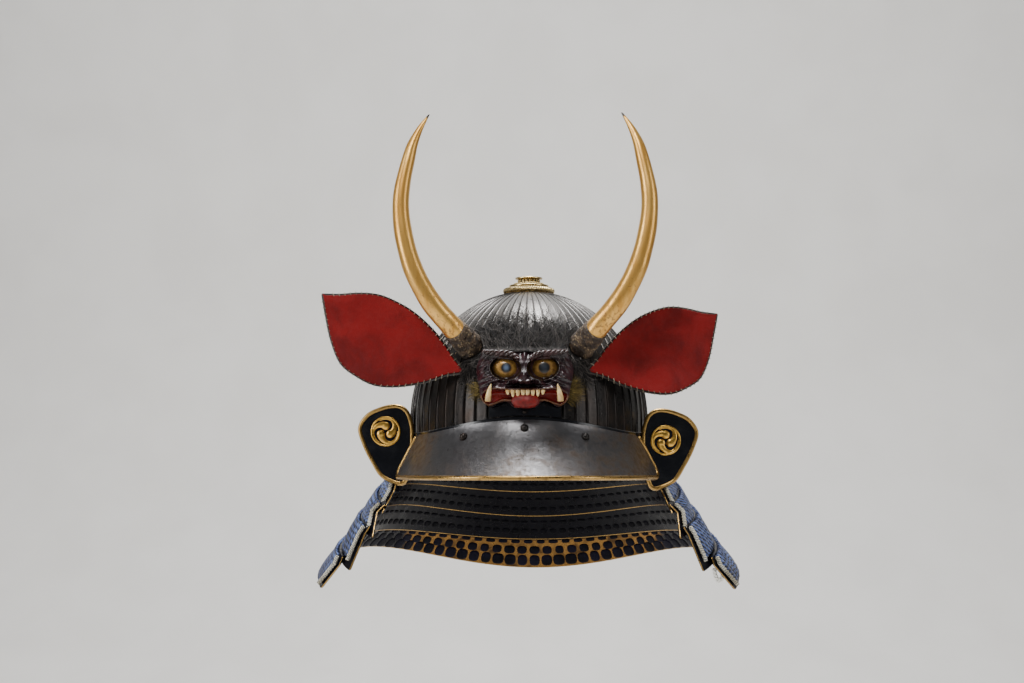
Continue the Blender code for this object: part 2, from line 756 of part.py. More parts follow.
def seated(across, up, width, depth, height):
    """The middle of a flattened ball whose back rests against the mask's face."""
    reaches = []
    for aside in [step / 5 - 1 for step in range(11)]:
        for above in [step / 5 - 1 for step in range(11)]:
            rest = 1 - aside ** 2 - above ** 2
            if rest >= 0:
                face = mask_depth(across + aside * width / MASK_WIDTH, up + above * height / MASK_HEIGHT)
                reaches.append(face - depth / 2 * math.sqrt(rest))
    return Vector((across * MASK_WIDTH / 2, min(reaches) - GAP, mask_level(up)))


def tusk_path(name, side):
    """One tusk, curving up and outwards from the corner of the mouth."""
    last = len(TUSK_TAPER) - 1
    points = []
    for step, share in enumerate(TUSK_TAPER):
        across = side * (TUSK_ACROSS + TUSK_LEAN * step / last)
        up = TUSK_ROOT + 2 * TUSK_LENGTH / MASK_HEIGHT * step / last
        width = TUSK_WIDTH * max(share, TUSK_SEAT)
        points.append(seated(across, up, width, width, width))
    tube("tusk_" + name, points, TUSK_WIDTH / 2, TUSK_TAPER, "bone", 2)


def lock_share(place, locks):
    """A row of pointed locks: 1 at each lock's tip and 0 between two locks."""
    return 1 - abs(2 * (place * locks % 1.0) - 1)


def make_hide():
    """The hide over the brow: a padded patch on the bowl whose upper edge ends in locks."""
    base = mask_level(1.0) + GAP * 3
    columns, rows = 2 * HIDE_LOCKS, 4
    walls = {"outer": [], "inner": []}
    for row in range(rows + 1):
        share = row / rows
        width = HIDE_WIDTH * blend(HIDE_FOOT_SHARE, 1.0, share ** 2)
        line = {"outer": [], "inner": []}
        for column in range(columns + 1):
            place = column / columns
            lock = 1 - lock_share(place, HIDE_LOCKS)
            span = abs(2 * place - 1)
            lift = share * HIDE_HEIGHT * (1 - HIDE_LOCK_SHARE * lock - HIDE_SAG * span ** 2)
            across = width * (place - 0.5)
            plump = math.sin(math.pi * blend(*HIDE_SWELL, share)) * (1 - HIDE_LOCK_SWELL * lock)
            plump *= 1 - HIDE_SIDE_THINNING * span ** 4
            seat = RIB_HEIGHT + GAP * 2
            wall = HIDE_DEPTH * max(plump, HIDE_THINNEST)
            line["inner"].append(bowl_front(across, base + lift, seat))
            line["outer"].append(bowl_front(across, base + lift, seat + wall))
        for key in walls:
            walls[key].append(line[key])
    shell_between("brow_hide", walls["outer"], walls["inner"], False, "dark_hair")


def make_tufts():
    """A tuft of hair at each cheek: locks that leave the mask's edge sideways."""
    for name, side in SIDES.items():
        outer, inner = [], []
        root = mask_outline((TUFT_UP + 1 + TUFT_HEIGHT / MASK_HEIGHT) / 2) * MASK_WIDTH / 2 + GAP * 3
        for step in range(2 * TUFT_LOCKS + 1):
            place = step / (2 * TUFT_LOCKS)
            lock = 1 - lock_share(place, TUFT_LOCKS)
            height = mask_level(TUFT_UP) + TUFT_HEIGHT * (place - 0.5)
            length = TUFT_LENGTH * (1 - TUFT_LOCK_SHARE * lock) * (1 - TUFT_TAPER * abs(2 * place - 1))
            front, back = [], []
            for share in (0.0, 0.5, 1.0):
                across = side * (root + length * share)
                seat = RIB_HEIGHT + GAP * 3 + TUFT_STAND_OFF * share
                wall = TUFT_DEPTH * blend(1.0, TUFT_TIP_SHARE, share)
                back.append(bowl_front(across, height, seat))
                front.append(bowl_front(across, height, seat + wall))
            outer.append(front)
            inner.append(back)
        shell_between("cheek_tuft_" + name, outer, inner, False, "dark_hair")


def horn_point(side, share):
    """A point on a horn's centre line and its radius share, at a share of its rise."""
    root, axis = horn_root(side)
    joint = root + axis * (CUFF_LENGTH + GAP)
    spread = smooth_read(HORN_TABLE, HORN_COLUMNS, "spread", share) * HORN_SPREAD
    forward = smooth_read(HORN_TABLE, HORN_COLUMNS, "forward", share) - HORN_TABLE[0][2]
    radius = smooth_read(HORN_TABLE, HORN_COLUMNS, "radius", share)
    point = joint + Vector((side * spread, -forward * HORN_FORWARD, share * HORN_RISE))
    return point, radius


def smooth_read(table, columns, key, at):
    """One column of a table, read on a smooth curve through its rows."""
    place, value = 0, columns.index(key)
    last = len(table) - 1
    index = next(row for row in range(last) if at <= table[row + 1][place] or row == last - 1)
    low, high = table[index], table[index + 1]
    span = high[place] - low[place]
    share = (at - low[place]) / span
    before, after = table[max(index - 1, 0)], table[min(index + 2, last)]
    slope_low = (high[value] - before[value]) / (high[place] - before[place]) * span
    slope_high = (after[value] - low[value]) / (after[place] - low[place]) * span
    square, cube = share ** 2, share ** 3
    return (low[value] * (2 * cube - 3 * square + 1) + slope_low * (cube - 2 * square + share)
            + high[value] * (3 * square - 2 * cube) + slope_high * (cube - square))


def horn_root(side):
    """Where a horn's cuff stands on the bowl, and the direction it leaves in."""
    height = HORN_ROOT_HEIGHT * BOWL_HEIGHT
    angle = side * HORN_ROOT_ANGLE
    axis = bowl_normal(angle, height)
    return plate_point(angle, height, RIB_HEIGHT) + axis * GAP * 2, axis


def make_horns():
    """Two gilt horns, each standing in a cuff of hide on the front of the bowl."""
    for name, side in SIDES.items():
        root, axis = horn_root(side)
        last = len(CUFF_TAPER) - 1
        cuff = [root + axis * CUFF_LENGTH * step / last for step in range(last + 1)]
        tube("horn_cuff_" + name, cuff, CUFF_WIDTH / 2, CUFF_TAPER, "cuff_hide", 3)
        shares = [(step / (HORN_POINTS - 1)) ** HORN_POINT_CURVE for step in range(HORN_POINTS)]
        path = [horn_point(side, share) for share in shares]
        points = [point for point, _ in path]
        points.insert(1, blend(points[0], points[0] + axis * (points[1] - points[0]).length, 0.5))
        radii = [radius for _, radius in path]
        radii.insert(1, radii[0])
        tube("horn_" + name, points, HORN_WIDTH / 2, radii, "gilt_horn", 3)


def ear_frame(name, side):
    """An ear's root and its directions: along it, up across it and forwards out of its cup."""
    height = EAR_ROOT_HEIGHT * BOWL_HEIGHT
    angle = side * EAR_ROOT_ANGLE
    root = bowl_point(angle, height, RIB_HEIGHT + EAR_STAND_OFF)
    tilt, sweep = EAR_TILT[name], EAR_SWEEP[name]
    flat = math.cos(tilt)
    along = Vector((side * flat * math.cos(sweep), flat * math.sin(sweep), math.sin(tilt)))
    upward = Vector((-side * math.sin(tilt), 0.0, math.cos(tilt)))
    upward = (upward - along * upward.dot(along)).normalized()
    forward = Vector((0, -1, 0))
    forward = (forward - along * forward.dot(along) - upward * forward.dot(upward)).normalized()
    return root, along, upward, forward


def ear_rows(name, side, inset, lift):
    """Rows of points over an ear's face, each row running from its lower to its upper edge."""
    root, along, upward, forward = ear_frame(name, side)
    rows = []
    for place, upper, lower in EAR_TABLE:
        reach = blend(inset, EAR_LENGTH - inset, place)
        high = max(upper * EAR_UPPER - inset, LINING_WALL * upper)
        low = max(lower * EAR_LOWER - inset, LINING_WALL * lower)
        row = []
        for step in range(5):
            across = blend(-low, high, step / 4)
            bow = across / (high if across > 0 else low)
            cup = EAR_CUP * math.sin(math.pi * min(place * 1.1, 1.0)) * bow ** 2
            row.append(root + along * reach + upward * across + forward * (cup + lift))
        rows.append(row)
    return rows


def make_ears():
    """Two cupped leather ears, each with a red lining on its front."""
    for name, side in SIDES.items():
        sheet("ear_" + name, ear_rows(name, side, 0.0, 0.0), EAR_WALL, "dark_leather", side)
        lining = ear_rows(name, side, LINING_INSET, GAP)
        sheet("ear_lining_" + name, lining, LINING_WALL, "red_leather", -side)


def lame_section(number):
    """One lame's row of the table, with its names."""
    return dict(zip(LAME_COLUMNS, LAME_TABLE[number]))


def lame_edge(number, turn):
    """Spread and height of a lame's lower edge at a turn from the back."""
    section = lame_section(number)
    corner = math.pi - math.radians(section["lower_end"])
    reach = (corner if turn > WAIST_TURN else WAIST_BACK) - WAIST_TURN
    waist = math.cos(min((turn - WAIST_TURN) / reach, 1.0) * math.pi / 2) ** 2
    spread = section["spread"] * (1 - section["waist"] * waist) * GUARD_SPREAD
    if turn < SIDE_TURN:
        dip = math.cos(turn / SIDE_TURN * math.pi / 2) ** 2
        drop = blend(section["side"], section["back"], dip)
    else:
        share = (turn - SIDE_TURN) / (corner - SIDE_TURN)
        drop = blend(section["side"], section["corner"], share ** CORNER_DROP_CURVE)
    return spread, -drop * GUARD_DROP


def lame_rows(number, turn):
    """A lame's inner face at a turn from the back: spread and height of its top, lap and edge."""
    edge_spread, edge_height = lame_edge(number, turn)
    if number == 0:
        seat = band_outer() + LAME_GAP / 2
        return ((seat, -GAP), (seat, -BAND_DROP), (edge_spread, edge_height))
    above = lame_rows(number - 1, turn)
    (lap_spread, lap_height), (end_spread, end_height) = above[1], above[2]
    slope = (end_spread - lap_spread) / (lap_height - end_height)
    seat = end_spread + LAME_WALL + LAME_GAP
    top = (seat - slope * LAP_LEAN * LAME_LAP, end_height + LAME_LAP)
    return (top, (seat, end_height), (edge_spread, edge_height))


def lame_turn(number, row, span):
    """The turn from the back at a span from -1 to 1, for the top, lap or lower row.

    The first lame and the top of the second end just behind the wings.
    """
    section = lame_section(number)
    end = math.radians(section["lower_end"] if row == 2 else section["upper_end"])
    if number == 0 or (number == 1 and row < 2):
        spread = lame_rows(number, math.pi - end)[row][0] + LAME_WALL + (LACING_GAP + LACING_WALL) * number
        end = math.acos((WING_PLANE - WING_WALL - 2 * GAP) / (BOWL_LENGTH / 2 + spread))
    return span * (math.pi - end)


def lame_surface(number, offset, trim):
    """A lame's three rows of points; a trim stops short of its bare lower edge."""
    rows = []
    spans = [2 * step / LAME_STEPS - 1 for step in range(LAME_STEPS + 1)]
    for row in range(3):
        line = []
        for span in spans:
            turn = lame_turn(number, row, span)
            spread, height = lame_rows(number, abs(turn))[row]
            line.append(oval(math.pi - turn, spread + offset, height))
        rows.append(line)
    if trim:
        rows[2] = [blend(edge, lap, trim / (lap.z - edge.z)) for lap, edge in zip(rows[1], rows[2])]
    return rows


def make_neck_guard():
    """Five lames, and the lacing over the outside of the lower four."""
    last = len(LAME_TABLE) - 1
    for number in range(last + 1):
        inner = lame_surface(number, 0.0, 0.0)
        outer = lame_surface(number, LAME_WALL, 0.0)
        shell_between("lame_%d" % (number + 1), outer, inner, False, "black_lacquer")
        if number:
            trim = LAME_LAP + LACING_MARGIN
            lift = LAME_WALL + (LACING_GAP if number < last else LOWEST_LACING_GAP)
            inner = lame_surface(number, lift, trim)
            outer = lame_surface(number, lift + LACING_WALL, trim)
            shell_between("lacing_%d" % (number + 1), outer, inner, False, "blue_silk")


def wing_point(side, lift, height, across):
    """A point on a wing's front face, from its foot up and from its root outwards."""
    level = height * WING_HEIGHT - WING_FOOT + lift
    rim = 2 * RIM_RADIUS + 3 * GAP
    turn = math.acos(WING_PLANE / (BOWL_LENGTH / 2 + band_outer()))
    root = oval(turn, band_outer(), 0.0).x + rim
    back = WING_SWEEP * max(across - WING_BEND, 0.0) ** 2
    return Vector((side * (root + across * WING_WIDTH), -WING_PLANE + back, level))


def make_wings():
    """The turned-back wings, each with a gilt rim and a round crest."""
    for name, side in SIDES.items():
        lift = WING_LIFT[name]
        rows = [[wing_point(side, lift, height, blend(inner, outer, step / 5)) for step in range(6)]
                for height, inner, outer in WING_TABLE]
        sheet("wing_" + name, rows, WING_WALL, "black_lacquer", -1.0 * side)
        border = [rows[0][0]] + [row[-1] for row in rows] + [row[0] for row in rows[:3:-1]]
        middle = wing_point(side, lift, *WING_MIDDLE)
        within = [blend(point, middle, 0.1) for point in border]
        path = beside(border, within, RIM_RADIUS + GAP)
        tube("wing_rim_" + name, path, RIM_RADIUS, [1.0] * len(path), "gilt_copper", 1)
        crest(name, wing_point(side, lift, CREST_HEIGHT[name], CREST_ACROSS[name]))


def crest(name, place):
    """A round crest plate on the face of a wing."""
    work = bmesh.new()
    bmesh.ops.create_cone(work, cap_ends=True, segments=24, radius1=CREST_WIDTH / 2,
                          radius2=CREST_WIDTH / 2, depth=CREST_WALL)
    mesh = bpy.data.meshes.new("crest_" + name)
    work.to_mesh(mesh)
    work.free()
    piece = place_mesh("crest_" + name, mesh, "gilt_copper")
    piece.rotation_euler.x = math.pi / 2
    piece.location = place + Vector((0, -CREST_WALL / 2 - GAP, 0))


empty_scene()
make_bowl()
make_crown()
make_band()
make_visor()
make_holder()
make_mask()
make_hide()
make_tufts()
make_horns()
make_ears()
make_neck_guard()
make_wings()
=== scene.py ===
import functools
import math

import bmesh
import bpy
import numpy as np
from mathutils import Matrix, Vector


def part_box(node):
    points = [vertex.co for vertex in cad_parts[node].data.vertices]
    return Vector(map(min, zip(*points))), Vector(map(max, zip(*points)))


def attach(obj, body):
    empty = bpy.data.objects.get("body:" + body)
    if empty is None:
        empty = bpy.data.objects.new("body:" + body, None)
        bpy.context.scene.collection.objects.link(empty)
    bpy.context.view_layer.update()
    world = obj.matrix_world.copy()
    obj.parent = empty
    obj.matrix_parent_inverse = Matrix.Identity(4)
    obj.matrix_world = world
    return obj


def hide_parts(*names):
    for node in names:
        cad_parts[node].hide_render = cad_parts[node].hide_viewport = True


# Ribbed iron samurai helmet: the looks of every piece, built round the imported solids.
# Metres, +Z up, the helmet faces -Y. Random marks come from one seeded generator.
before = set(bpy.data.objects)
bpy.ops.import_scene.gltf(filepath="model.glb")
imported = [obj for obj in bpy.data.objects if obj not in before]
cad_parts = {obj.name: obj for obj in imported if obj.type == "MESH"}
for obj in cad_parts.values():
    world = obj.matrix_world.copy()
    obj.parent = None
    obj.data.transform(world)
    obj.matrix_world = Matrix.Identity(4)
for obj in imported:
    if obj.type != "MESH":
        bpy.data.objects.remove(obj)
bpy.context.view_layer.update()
chance = np.random.default_rng(7)
sides = {"left": -1, "right": 1}
turn = 2 * math.pi


def linear(code):
    # sRGB hex to the linear colour that a node socket takes
    channels = [int(code[at:at + 2], 16) / 255 for at in (0, 2, 4)]
    return tuple(c / 12.92 if c <= 0.04045 else ((c + 0.055) / 1.055) ** 2.4 for c in channels) + (1.0,)


# Every sort of node in the patterns: its type, the sockets that the given values fill in turn, its output
# and its settings. "step" is a smooth step of a value from low to high, read as start to end.
nodeSetups = {
    "noise": ("TexNoise", ("Vector", "Scale", "Detail", "Distortion"), 0, {}),
    "cells": ("TexVoronoi", ("Vector", "Scale"), 0, {}),
    "step": ("MapRange", ("Value", "From Min", "From Max", "To Min", "To Max"), 0,
             {"interpolation_type": "SMOOTHSTEP"}),
    "mix": ("Mix", (0, 6, 7), 2, {"data_type": "RGBA"}),
    "mark": ("Attribute", (), 2, {}),
    "x": ("SeparateXYZ", (0,), 0, {}), "y": ("SeparateXYZ", (0,), 1, {}), "z": ("SeparateXYZ", (0,), 2, {}),
    "scaled": ("Mapping", ("Vector", "Scale"), 0, {}),
    "place": ("TexCoord", (), 3, {}),
    "uv": ("UVMap", (), 0, {"uv_map": "UVMap"}),
    "bump": ("Bump", ("Height", "Distance", "Strength"), 0, {}),
}
nodeSetups.update({how.lower(): ("Math", (0, 1), 0, {"operation": how})
                   for how in ("ADD", "SUBTRACT", "MULTIPLY", "DIVIDE", "SINE", "ABSOLUTE")})
bumpStrength = 0.6


def fill(tree, socket, value):
    # a socket takes a link, a hex colour or a plain value
    if isinstance(value, bpy.types.NodeSocket):
        tree.links.new(value, socket)
    else:
        socket.default_value = linear(value) if isinstance(value, str) else value


def addNode(tree, setup, *values, **settings):
    kind, sockets, output, fixed = nodeSetups[setup]
    node = tree.nodes.new("ShaderNode" + kind)
    for name, value in {**fixed, **settings}.items():
        setattr(node, name, value)
    for socket, value in zip(sockets, values):
        fill(tree, node.inputs[socket], value)
    return node.outputs[output]


def newMaterial(name):
    # a material, the function that adds a node to it, and the piece's own coordinates
    made = bpy.data.materials.new(name)
    made.use_nodes = True
    add = functools.partial(addNode, made.node_tree)
    return made, add, add("place")


def setShader(made, colour, roughness, metallic=0.0, height=None, depth=0.001, extra=None):
    tree = made.node_tree
    values = {"Base Color": colour, "Roughness": roughness, "Metallic": metallic, **(extra or {})}
    if height is not None:
        values["Normal"] = addNode(tree, "bump", height, depth, bumpStrength)
    for socket, value in values.items():
        fill(tree, tree.nodes["Principled BSDF"].inputs[socket], value)


def russetIron():
    # forged iron: dark low down and a dull silver on top, the silver being painted sheen of the light from
    # above, with brown rusty clouds low down
    made, add, where = newMaterial("russetIron")
    clouds = add("noise", where, 38.0, 6.0, 0.6)
    grain = add("noise", where, 420.0, 3.0)
    high = add("step", add("z", where), 0.035, 0.105)
    rust = add("multiply", add("step", clouds, 0.40, 0.68), add("step", high, 0.0, 1.0, 0.6, 0.2))
    # painted sheen: the colour climbs from dark iron to a lighter silver towards the top
    colour = add("mix", high, "2b2928", "5e5c5a")
    colour = add("mix", add("multiply", rust, 0.7), colour, "3a2c22")
    rough = add("add", add("step", grain, 0.3, 0.7, 0.26, 0.36), add("multiply", rust, 0.14))
    setShader(made, colour, rough, 0.9, add("add", grain, clouds), 0.0002)
    return made


def visorIron():
    # bare plate: even dark steel in the middle, rust freckles near its rim and both ends
    made, add, where = newMaterial("visorIron")
    clouds = add("noise", where, 34.0, 8.0, 0.3)
    spots = add("noise", where, 210.0, 6.0, 0.4)
    across = add("x", where)
    right = add("step", across, 0.015, 0.085, 0.0, 0.22)
    left = add("step", across, -0.055, -0.105, 0.0, 0.16)
    edge = add("multiply", add("mark", attribute_name="edge"), 0.16)
    share = add("add", edge, add("add", right, left))
    rust = add("step", add("add", clouds, share), 0.50, 0.80)
    rust = add("multiply", rust, add("step", spots, 0.38, 0.60, 0.25, 1.0))
    colour = add("mix", add("multiply", rust, 0.85), "5f5e5f", "493a2b")
    colour = add("mix", add("step", spots, 0.60, 0.72, 0.0, 0.55), colour, "2a2522")
    rough = add("add", add("step", spots, 0.3, 0.7, 0.30, 0.38), add("multiply", rust, 0.10))
    metal = add("step", rust, 0.0, 1.0, 0.92, 0.75)
    setShader(made, colour, rough, metal, spots, 0.0004)
    return made


def giltCopper(name, bright, worn):
    # fire-gilt copper: warm pale gold, browner where handling has worn it thin
    made, add, where = newMaterial(name)
    wear = add("noise", where, 190.0, 6.0, 0.5)
    fine = add("noise", where, 900.0, 2.0)
    colour = add("mix", add("step", wear, 0.50, 0.78, 0.0, 0.8), bright, worn)
    rough = add("step", wear, 0.35, 0.75, 0.26, 0.42)
    setShader(made, colour, rough, 1.0, add("add", wear, fine), 0.0001)
    return made


def blackLacquer():
    # deep blue-black lacquer, glossy, with faint dust and tiny dents
    made, add, where = newMaterial("blackLacquer")
    dust = add("noise", where, 60.0, 6.0)
    dents = add("noise", where, 240.0, 2.0)
    colour = add("mix", add("step", dust, 0.45, 0.8), "04050a", "0c0d12")
    rough = add("step", dust, 0.3, 0.75, 0.14, 0.28)
    setShader(made, colour, rough, 0.0, dents, 0.0001, {"Specular IOR Level": 0.50})
    return made


def guardLacquer():
    # lame lacquer: black, with gold leaf on the inside of the lowest lame that fades to its corners
    made, add, where = newMaterial("guardLacquer")
    worn = add("noise", where, 95.0, 6.0, 0.8)
    gold = add("mark", attribute_name="gold")
    share = add("step", add("add", gold, add("multiply", worn, 0.5)), 0.58, 0.80)
    colour = add("mix", add("step", worn, 0.4, 0.75), "7d5c30", "453320")
    colour = add("mix", share, add("mix", worn, "020206", "07060f"), colour)
    rough = add("step", worn, 0.3, 0.7, 0.22, 0.40)
    setShader(made, colour, rough, add("multiply", share, 0.7), worn, 0.0002, {"Specular IOR Level": 0.12})
    return made


def maskLacquer():
    # purplish brown lacquer over carved wood, red inside the mouth, rubbed gold along the lips, and painted
    # shade round the eye openings and under the nose
    made, add, where = newMaterial("maskLacquer")
    clouds = add("noise", where, 110.0, 5.0, 0.4)
    fine = add("noise", where, 700.0, 3.0)
    colour = add("mix", add("step", clouds, 0.4, 0.7), "180c10", "2e161b")
    colour = add("mix", add("mark", attribute_name="mouth"), colour, add("mix", clouds, "5c120e", "861e17"))
    colour = add("mix", add("multiply", add("mark", attribute_name="lip"), 0.65), colour, "6b4526")
    # painted shade: near black round the eye openings and in a band under the nose
    colour = add("mix", add("mark", attribute_name="hollowShade"), colour, "060405")
    rough = add("add", add("step", clouds, 0.3, 0.7, 0.22, 0.34),
                add("multiply", add("mark", attribute_name="bridge"), 0.12))
    level = add("subtract", 0.40, add("multiply", add("mark", attribute_name="bridge"), 0.33))
    setShader(made, colour, rough, 0.0, add("add", clouds, fine), 0.0002, {"Specular IOR Level": level})
    return made


def goldLeafHorn():
    # gold leaf over carved wood: smooth and warm, rubbed brown low down, with a dark worn tip
    made, add, where = newMaterial("goldLeafHorn")
    along = add("mark", attribute_name="along")
    streaks = add("noise", add("scaled", where, (1.0, 1.0, 0.15)), 150.0, 6.0, 0.5)
    flecks = add("noise", where, 420.0, 6.0, 0.3)
    colour = add("mix", add("step", streaks, 0.35, 0.70), "dcac5c", "bd8a40")
    root = add("step", along, 0.40, 0.05)
    worn = add("step", add("add", flecks, add("multiply", root, 0.12)), 0.64, 0.76)
    colour = add("mix", add("multiply", worn, 0.65), colour, "6a4319")
    tip = add("step", add("add", along, add("multiply", flecks, 0.01)), 0.978, 0.990)
    colour = add("mix", tip, colour, "20160f")
    rough = add("add", add("step", streaks, 0.3, 0.7, 0.28, 0.38), add("multiply", worn, 0.15))
    metal = add("step", add("add", worn, tip), 0.0, 1.0, 0.82, 0.35)
    setShader(made, colour, rough, metal, flecks, 0.0001)
    return made


def pebbledHide():
    # rough hide round the horn roots: brown, speckled with pale worn grains
    made, add, where = newMaterial("pebbledHide")
    grains = add("cells", where, 520.0)
    clouds = add("noise", where, 120.0, 6.0, 0.8)
    colour = add("mix", add("step", clouds, 0.38, 0.66), "261c14", "514030")
    pale = add("multiply", add("step", grains, 0.45, 0.10), add("step", clouds, 0.40, 0.56))
    colour = add("mix", add("multiply", pale, 0.7), colour, "9c8a66")
    setShader(made, colour, add("step", clouds, 0.3, 0.7, 0.55, 0.8), 0.0, add("subtract", clouds, grains),
              0.0012)
    return made


def darkLeather():
    # dark brown leather: fine pores, faint creases, hardly any shine
    made, add, where = newMaterial("darkLeather")
    pores = add("cells", where, 900.0)
    creases = add("noise", where, 90.0, 7.0, 1.0)
    colour = add("mix", add("step", creases, 0.4, 0.7), "1b1714", "2e2620")
    setShader(made, colour, add("step", creases, 0.3, 0.7, 0.5, 0.68), 0.0,
              add("add", creases, add("multiply", pores, 0.4)), 0.0005)
    return made


def redLeather():
    # red-dyed buckskin: matt nap, darker blotches and a few rubbed threads of dye
    made, add, where = newMaterial("redLeather")
    blotches = add("noise", where, 30.0, 6.0, 0.6)
    nap = add("noise", where, 1400.0, 3.0)
    grain = add("noise", where, 240.0, 6.0, 0.7)
    colour = add("mix", add("step", blotches, 0.34, 0.70), "6f1414", "510e0e")
    colour = add("mix", add("step", grain, 0.58, 0.78, 0.0, 0.3), colour, "7a1d1b")
    setShader(made, colour, add("step", grain, 0.3, 0.7, 0.78, 0.92), 0.0, add("add", nap, grain), 0.0004,
              {"Specular IOR Level": 0.15})
    return made


def animalHair(name, dark, pale):
    # coarse hair: each strand its own shade, with hardly any shine, so that dark fur stays dark
    made, add, where = newMaterial(name)
    shade = add("mark", attribute_name="shade")
    banding = add("noise", where, 300.0, 2.0)
    colour = add("mix", shade, dark, pale)
    rough = add("step", banding, 0.3, 0.7, 0.42, 0.62)
    setShader(made, colour, rough, 0.0, None, 0.0, {"Specular IOR Level": 0.16})
    return made


def eyeBrass():
    # gilt metal eye under clear lacquer: a glassy pupil, a brown shadowed rim
    made, add, where = newMaterial("eyeBrass")
    ring, glint = add("mark", attribute_name="ring"), add("mark", attribute_name="glint")
    clouds = add("noise", where, 260.0, 5.0, 0.5)
    colour = add("mix", add("step", clouds, 0.35, 0.7), "b58a45", "7d5828")
    colour = add("mix", add("step", ring, 2.1, 2.9), colour, "5e4320")
    pupil = add("mix", add("multiply", glint, add("step", ring, 0.9, 0.2)), "08080b", "52627a")
    inside = add("step", ring, 1.08, 0.98)
    colour = add("mix", add("step", ring, 1.45, 1.05, 0.0, 0.7), colour, "3c2812")
    colour = add("mix", inside, colour, pupil)
    setShader(made, colour, add("step", clouds, 0.3, 0.7, 0.30, 0.42),
              add("step", inside, 0.0, 1.0, 0.55, 0.0), clouds, 0.0001,
              {"Coat Weight": 0.5, "Coat Roughness": 0.08})
    return made


def ivoryLacquer():
    # aged ivory lacquer on teeth and tusks: yellowed, browner towards the roots
    made, add, where = newMaterial("ivoryLacquer")
    clouds = add("noise", where, 320.0, 5.0, 0.5)
    colour = add("mix", add("step", clouds, 0.35, 0.7), "d6bb84", "b88f54")
    colour = add("mix", add("step", add("mark", attribute_name="along"), 0.45, 0.0, 0.0, 0.6), colour,
                 "8a6236")
    setShader(made, colour, add("step", clouds, 0.3, 0.7, 0.25, 0.42), 0.0, clouds, 0.0002,
              {"Subsurface Weight": 0.08, "Coat Weight": 0.3})
    return made


def redLacquer():
    # glossy vermilion lacquer, darker in random clouds
    made, add, where = newMaterial("redLacquer")
    clouds = add("noise", where, 200.0, 5.0, 0.5)
    colour = add("mix", add("step", clouds, 0.35, 0.7), "6d120e", "4c0b09")
    setShader(made, colour, add("step", clouds, 0.3, 0.7, 0.42, 0.58), 0.0, clouds, 0.0004,
              {"Specular IOR Level": 0.30})
    return made


def braidedSilk(name, dark, main, pale, pitch=0.0032):
    # flat silk braid: chevrons of fine strands, pale in worn patches on their crowns, and painted shade
    # between cords
    made, add, where = newMaterial(name)
    place = add("uv")
    across = add("x", place)
    along = add("y", place)
    slant = add("multiply", add("absolute", add("subtract", across, 0.5)), 3.0)
    phase = add("multiply", add("add", add("divide", along, pitch), slant), turn)
    wave = add("step", add("sine", phase), -1.0, 1.0)
    wear = add("noise", where, 45.0, 6.0, 0.6)
    # painted shade: the dark colour fills the grooves between cords; on the pale edge braid it is also its
    # speckle
    colour = add("mix", wave, dark, add("mix", add("step", wear, 0.40, 0.72), main, pale))
    fibres = add("noise", where, 1600.0, 2.0)
    setShader(made, colour, add("step", wear, 0.3, 0.7, 0.55, 0.75), 0.0,
              add("add", wave, add("multiply", fibres, 0.3)), 0.0007,
              {"Sheen Weight": 0.12, "Sheen Roughness": 0.4})
    return made


def plainThread(name, dark, pale):
    # twisted thread: fine fibres, matt, hardly any shine
    made, add, where = newMaterial(name)
    fibres = add("noise", where, 900.0, 4.0, 0.5)
    wear = add("noise", where, 60.0, 5.0)
    colour = add("mix", add("step", wear, 0.35, 0.7), dark, pale)
    setShader(made, colour, add("step", fibres, 0.3, 0.7, 0.50, 0.72), 0.0, fibres, 0.0004,
              {"Specular IOR Level": 0.08})
    return made


def fillMesh(name, points, faceSets):
    mesh = bpy.data.meshes.new(name)
    faces = [face for faceSet in faceSets for face in np.asarray(faceSet).tolist()]
    mesh.from_pydata(np.asarray(points).reshape(-1, 3).tolist(), [], faces)
    mesh.shade_smooth()
    return mesh


def addPiece(name, points, faceSets, material, slot, replaced=(), marks=None, uv=None, outward=True,
             sharp=None):
    # marks are named values at the points, uv their places on a cord; outward turns the faces outwards
    mesh = fillMesh(name, points, faceSets)
    if outward:
        work = bmesh.new()
        work.from_mesh(mesh)
        bmesh.ops.recalc_face_normals(work, faces=work.faces)
        work.to_mesh(mesh)
        work.free()
    if sharp:
        mesh.set_sharp_from_angle(angle=math.radians(sharp))
    for mark, values in (marks or {}).items():
        field = mesh.attributes.new(mark, "FLOAT", "POINT")
        field.data.foreach_set("value", np.asarray(values, np.float32).ravel())
    if uv is not None:
        layer = mesh.uv_layers.new(name="UVMap")
        corner = np.zeros(len(mesh.loops), int)
        mesh.loops.foreach_get("vertex_index", corner)
        layer.data.foreach_set("uv", np.asarray(uv, np.float32).reshape(-1, 2)[corner].ravel())
    mesh.materials.append(material)
    piece = bpy.data.objects.new(name, mesh)
    bpy.context.scene.collection.objects.link(piece)
    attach(piece, "root")
    if replaced:
        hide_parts(*replaced)
    return piece


def gridFaces(rows, columns, wrapRows=False, wrapColumns=False, start=0):
    # quads between neighbouring points of a grid that is stored row by row
    row = np.arange(rows if wrapRows else rows - 1)[:, None]
    column = np.arange(columns if wrapColumns else columns - 1)[None, :]
    above, after = (row + 1) % rows, (column + 1) % columns
    corners = [row * columns + column, row * columns + after,
               above * columns + after, above * columns + column]
    return start + np.stack(np.broadcast_arrays(*corners), -1).reshape(-1, 4)


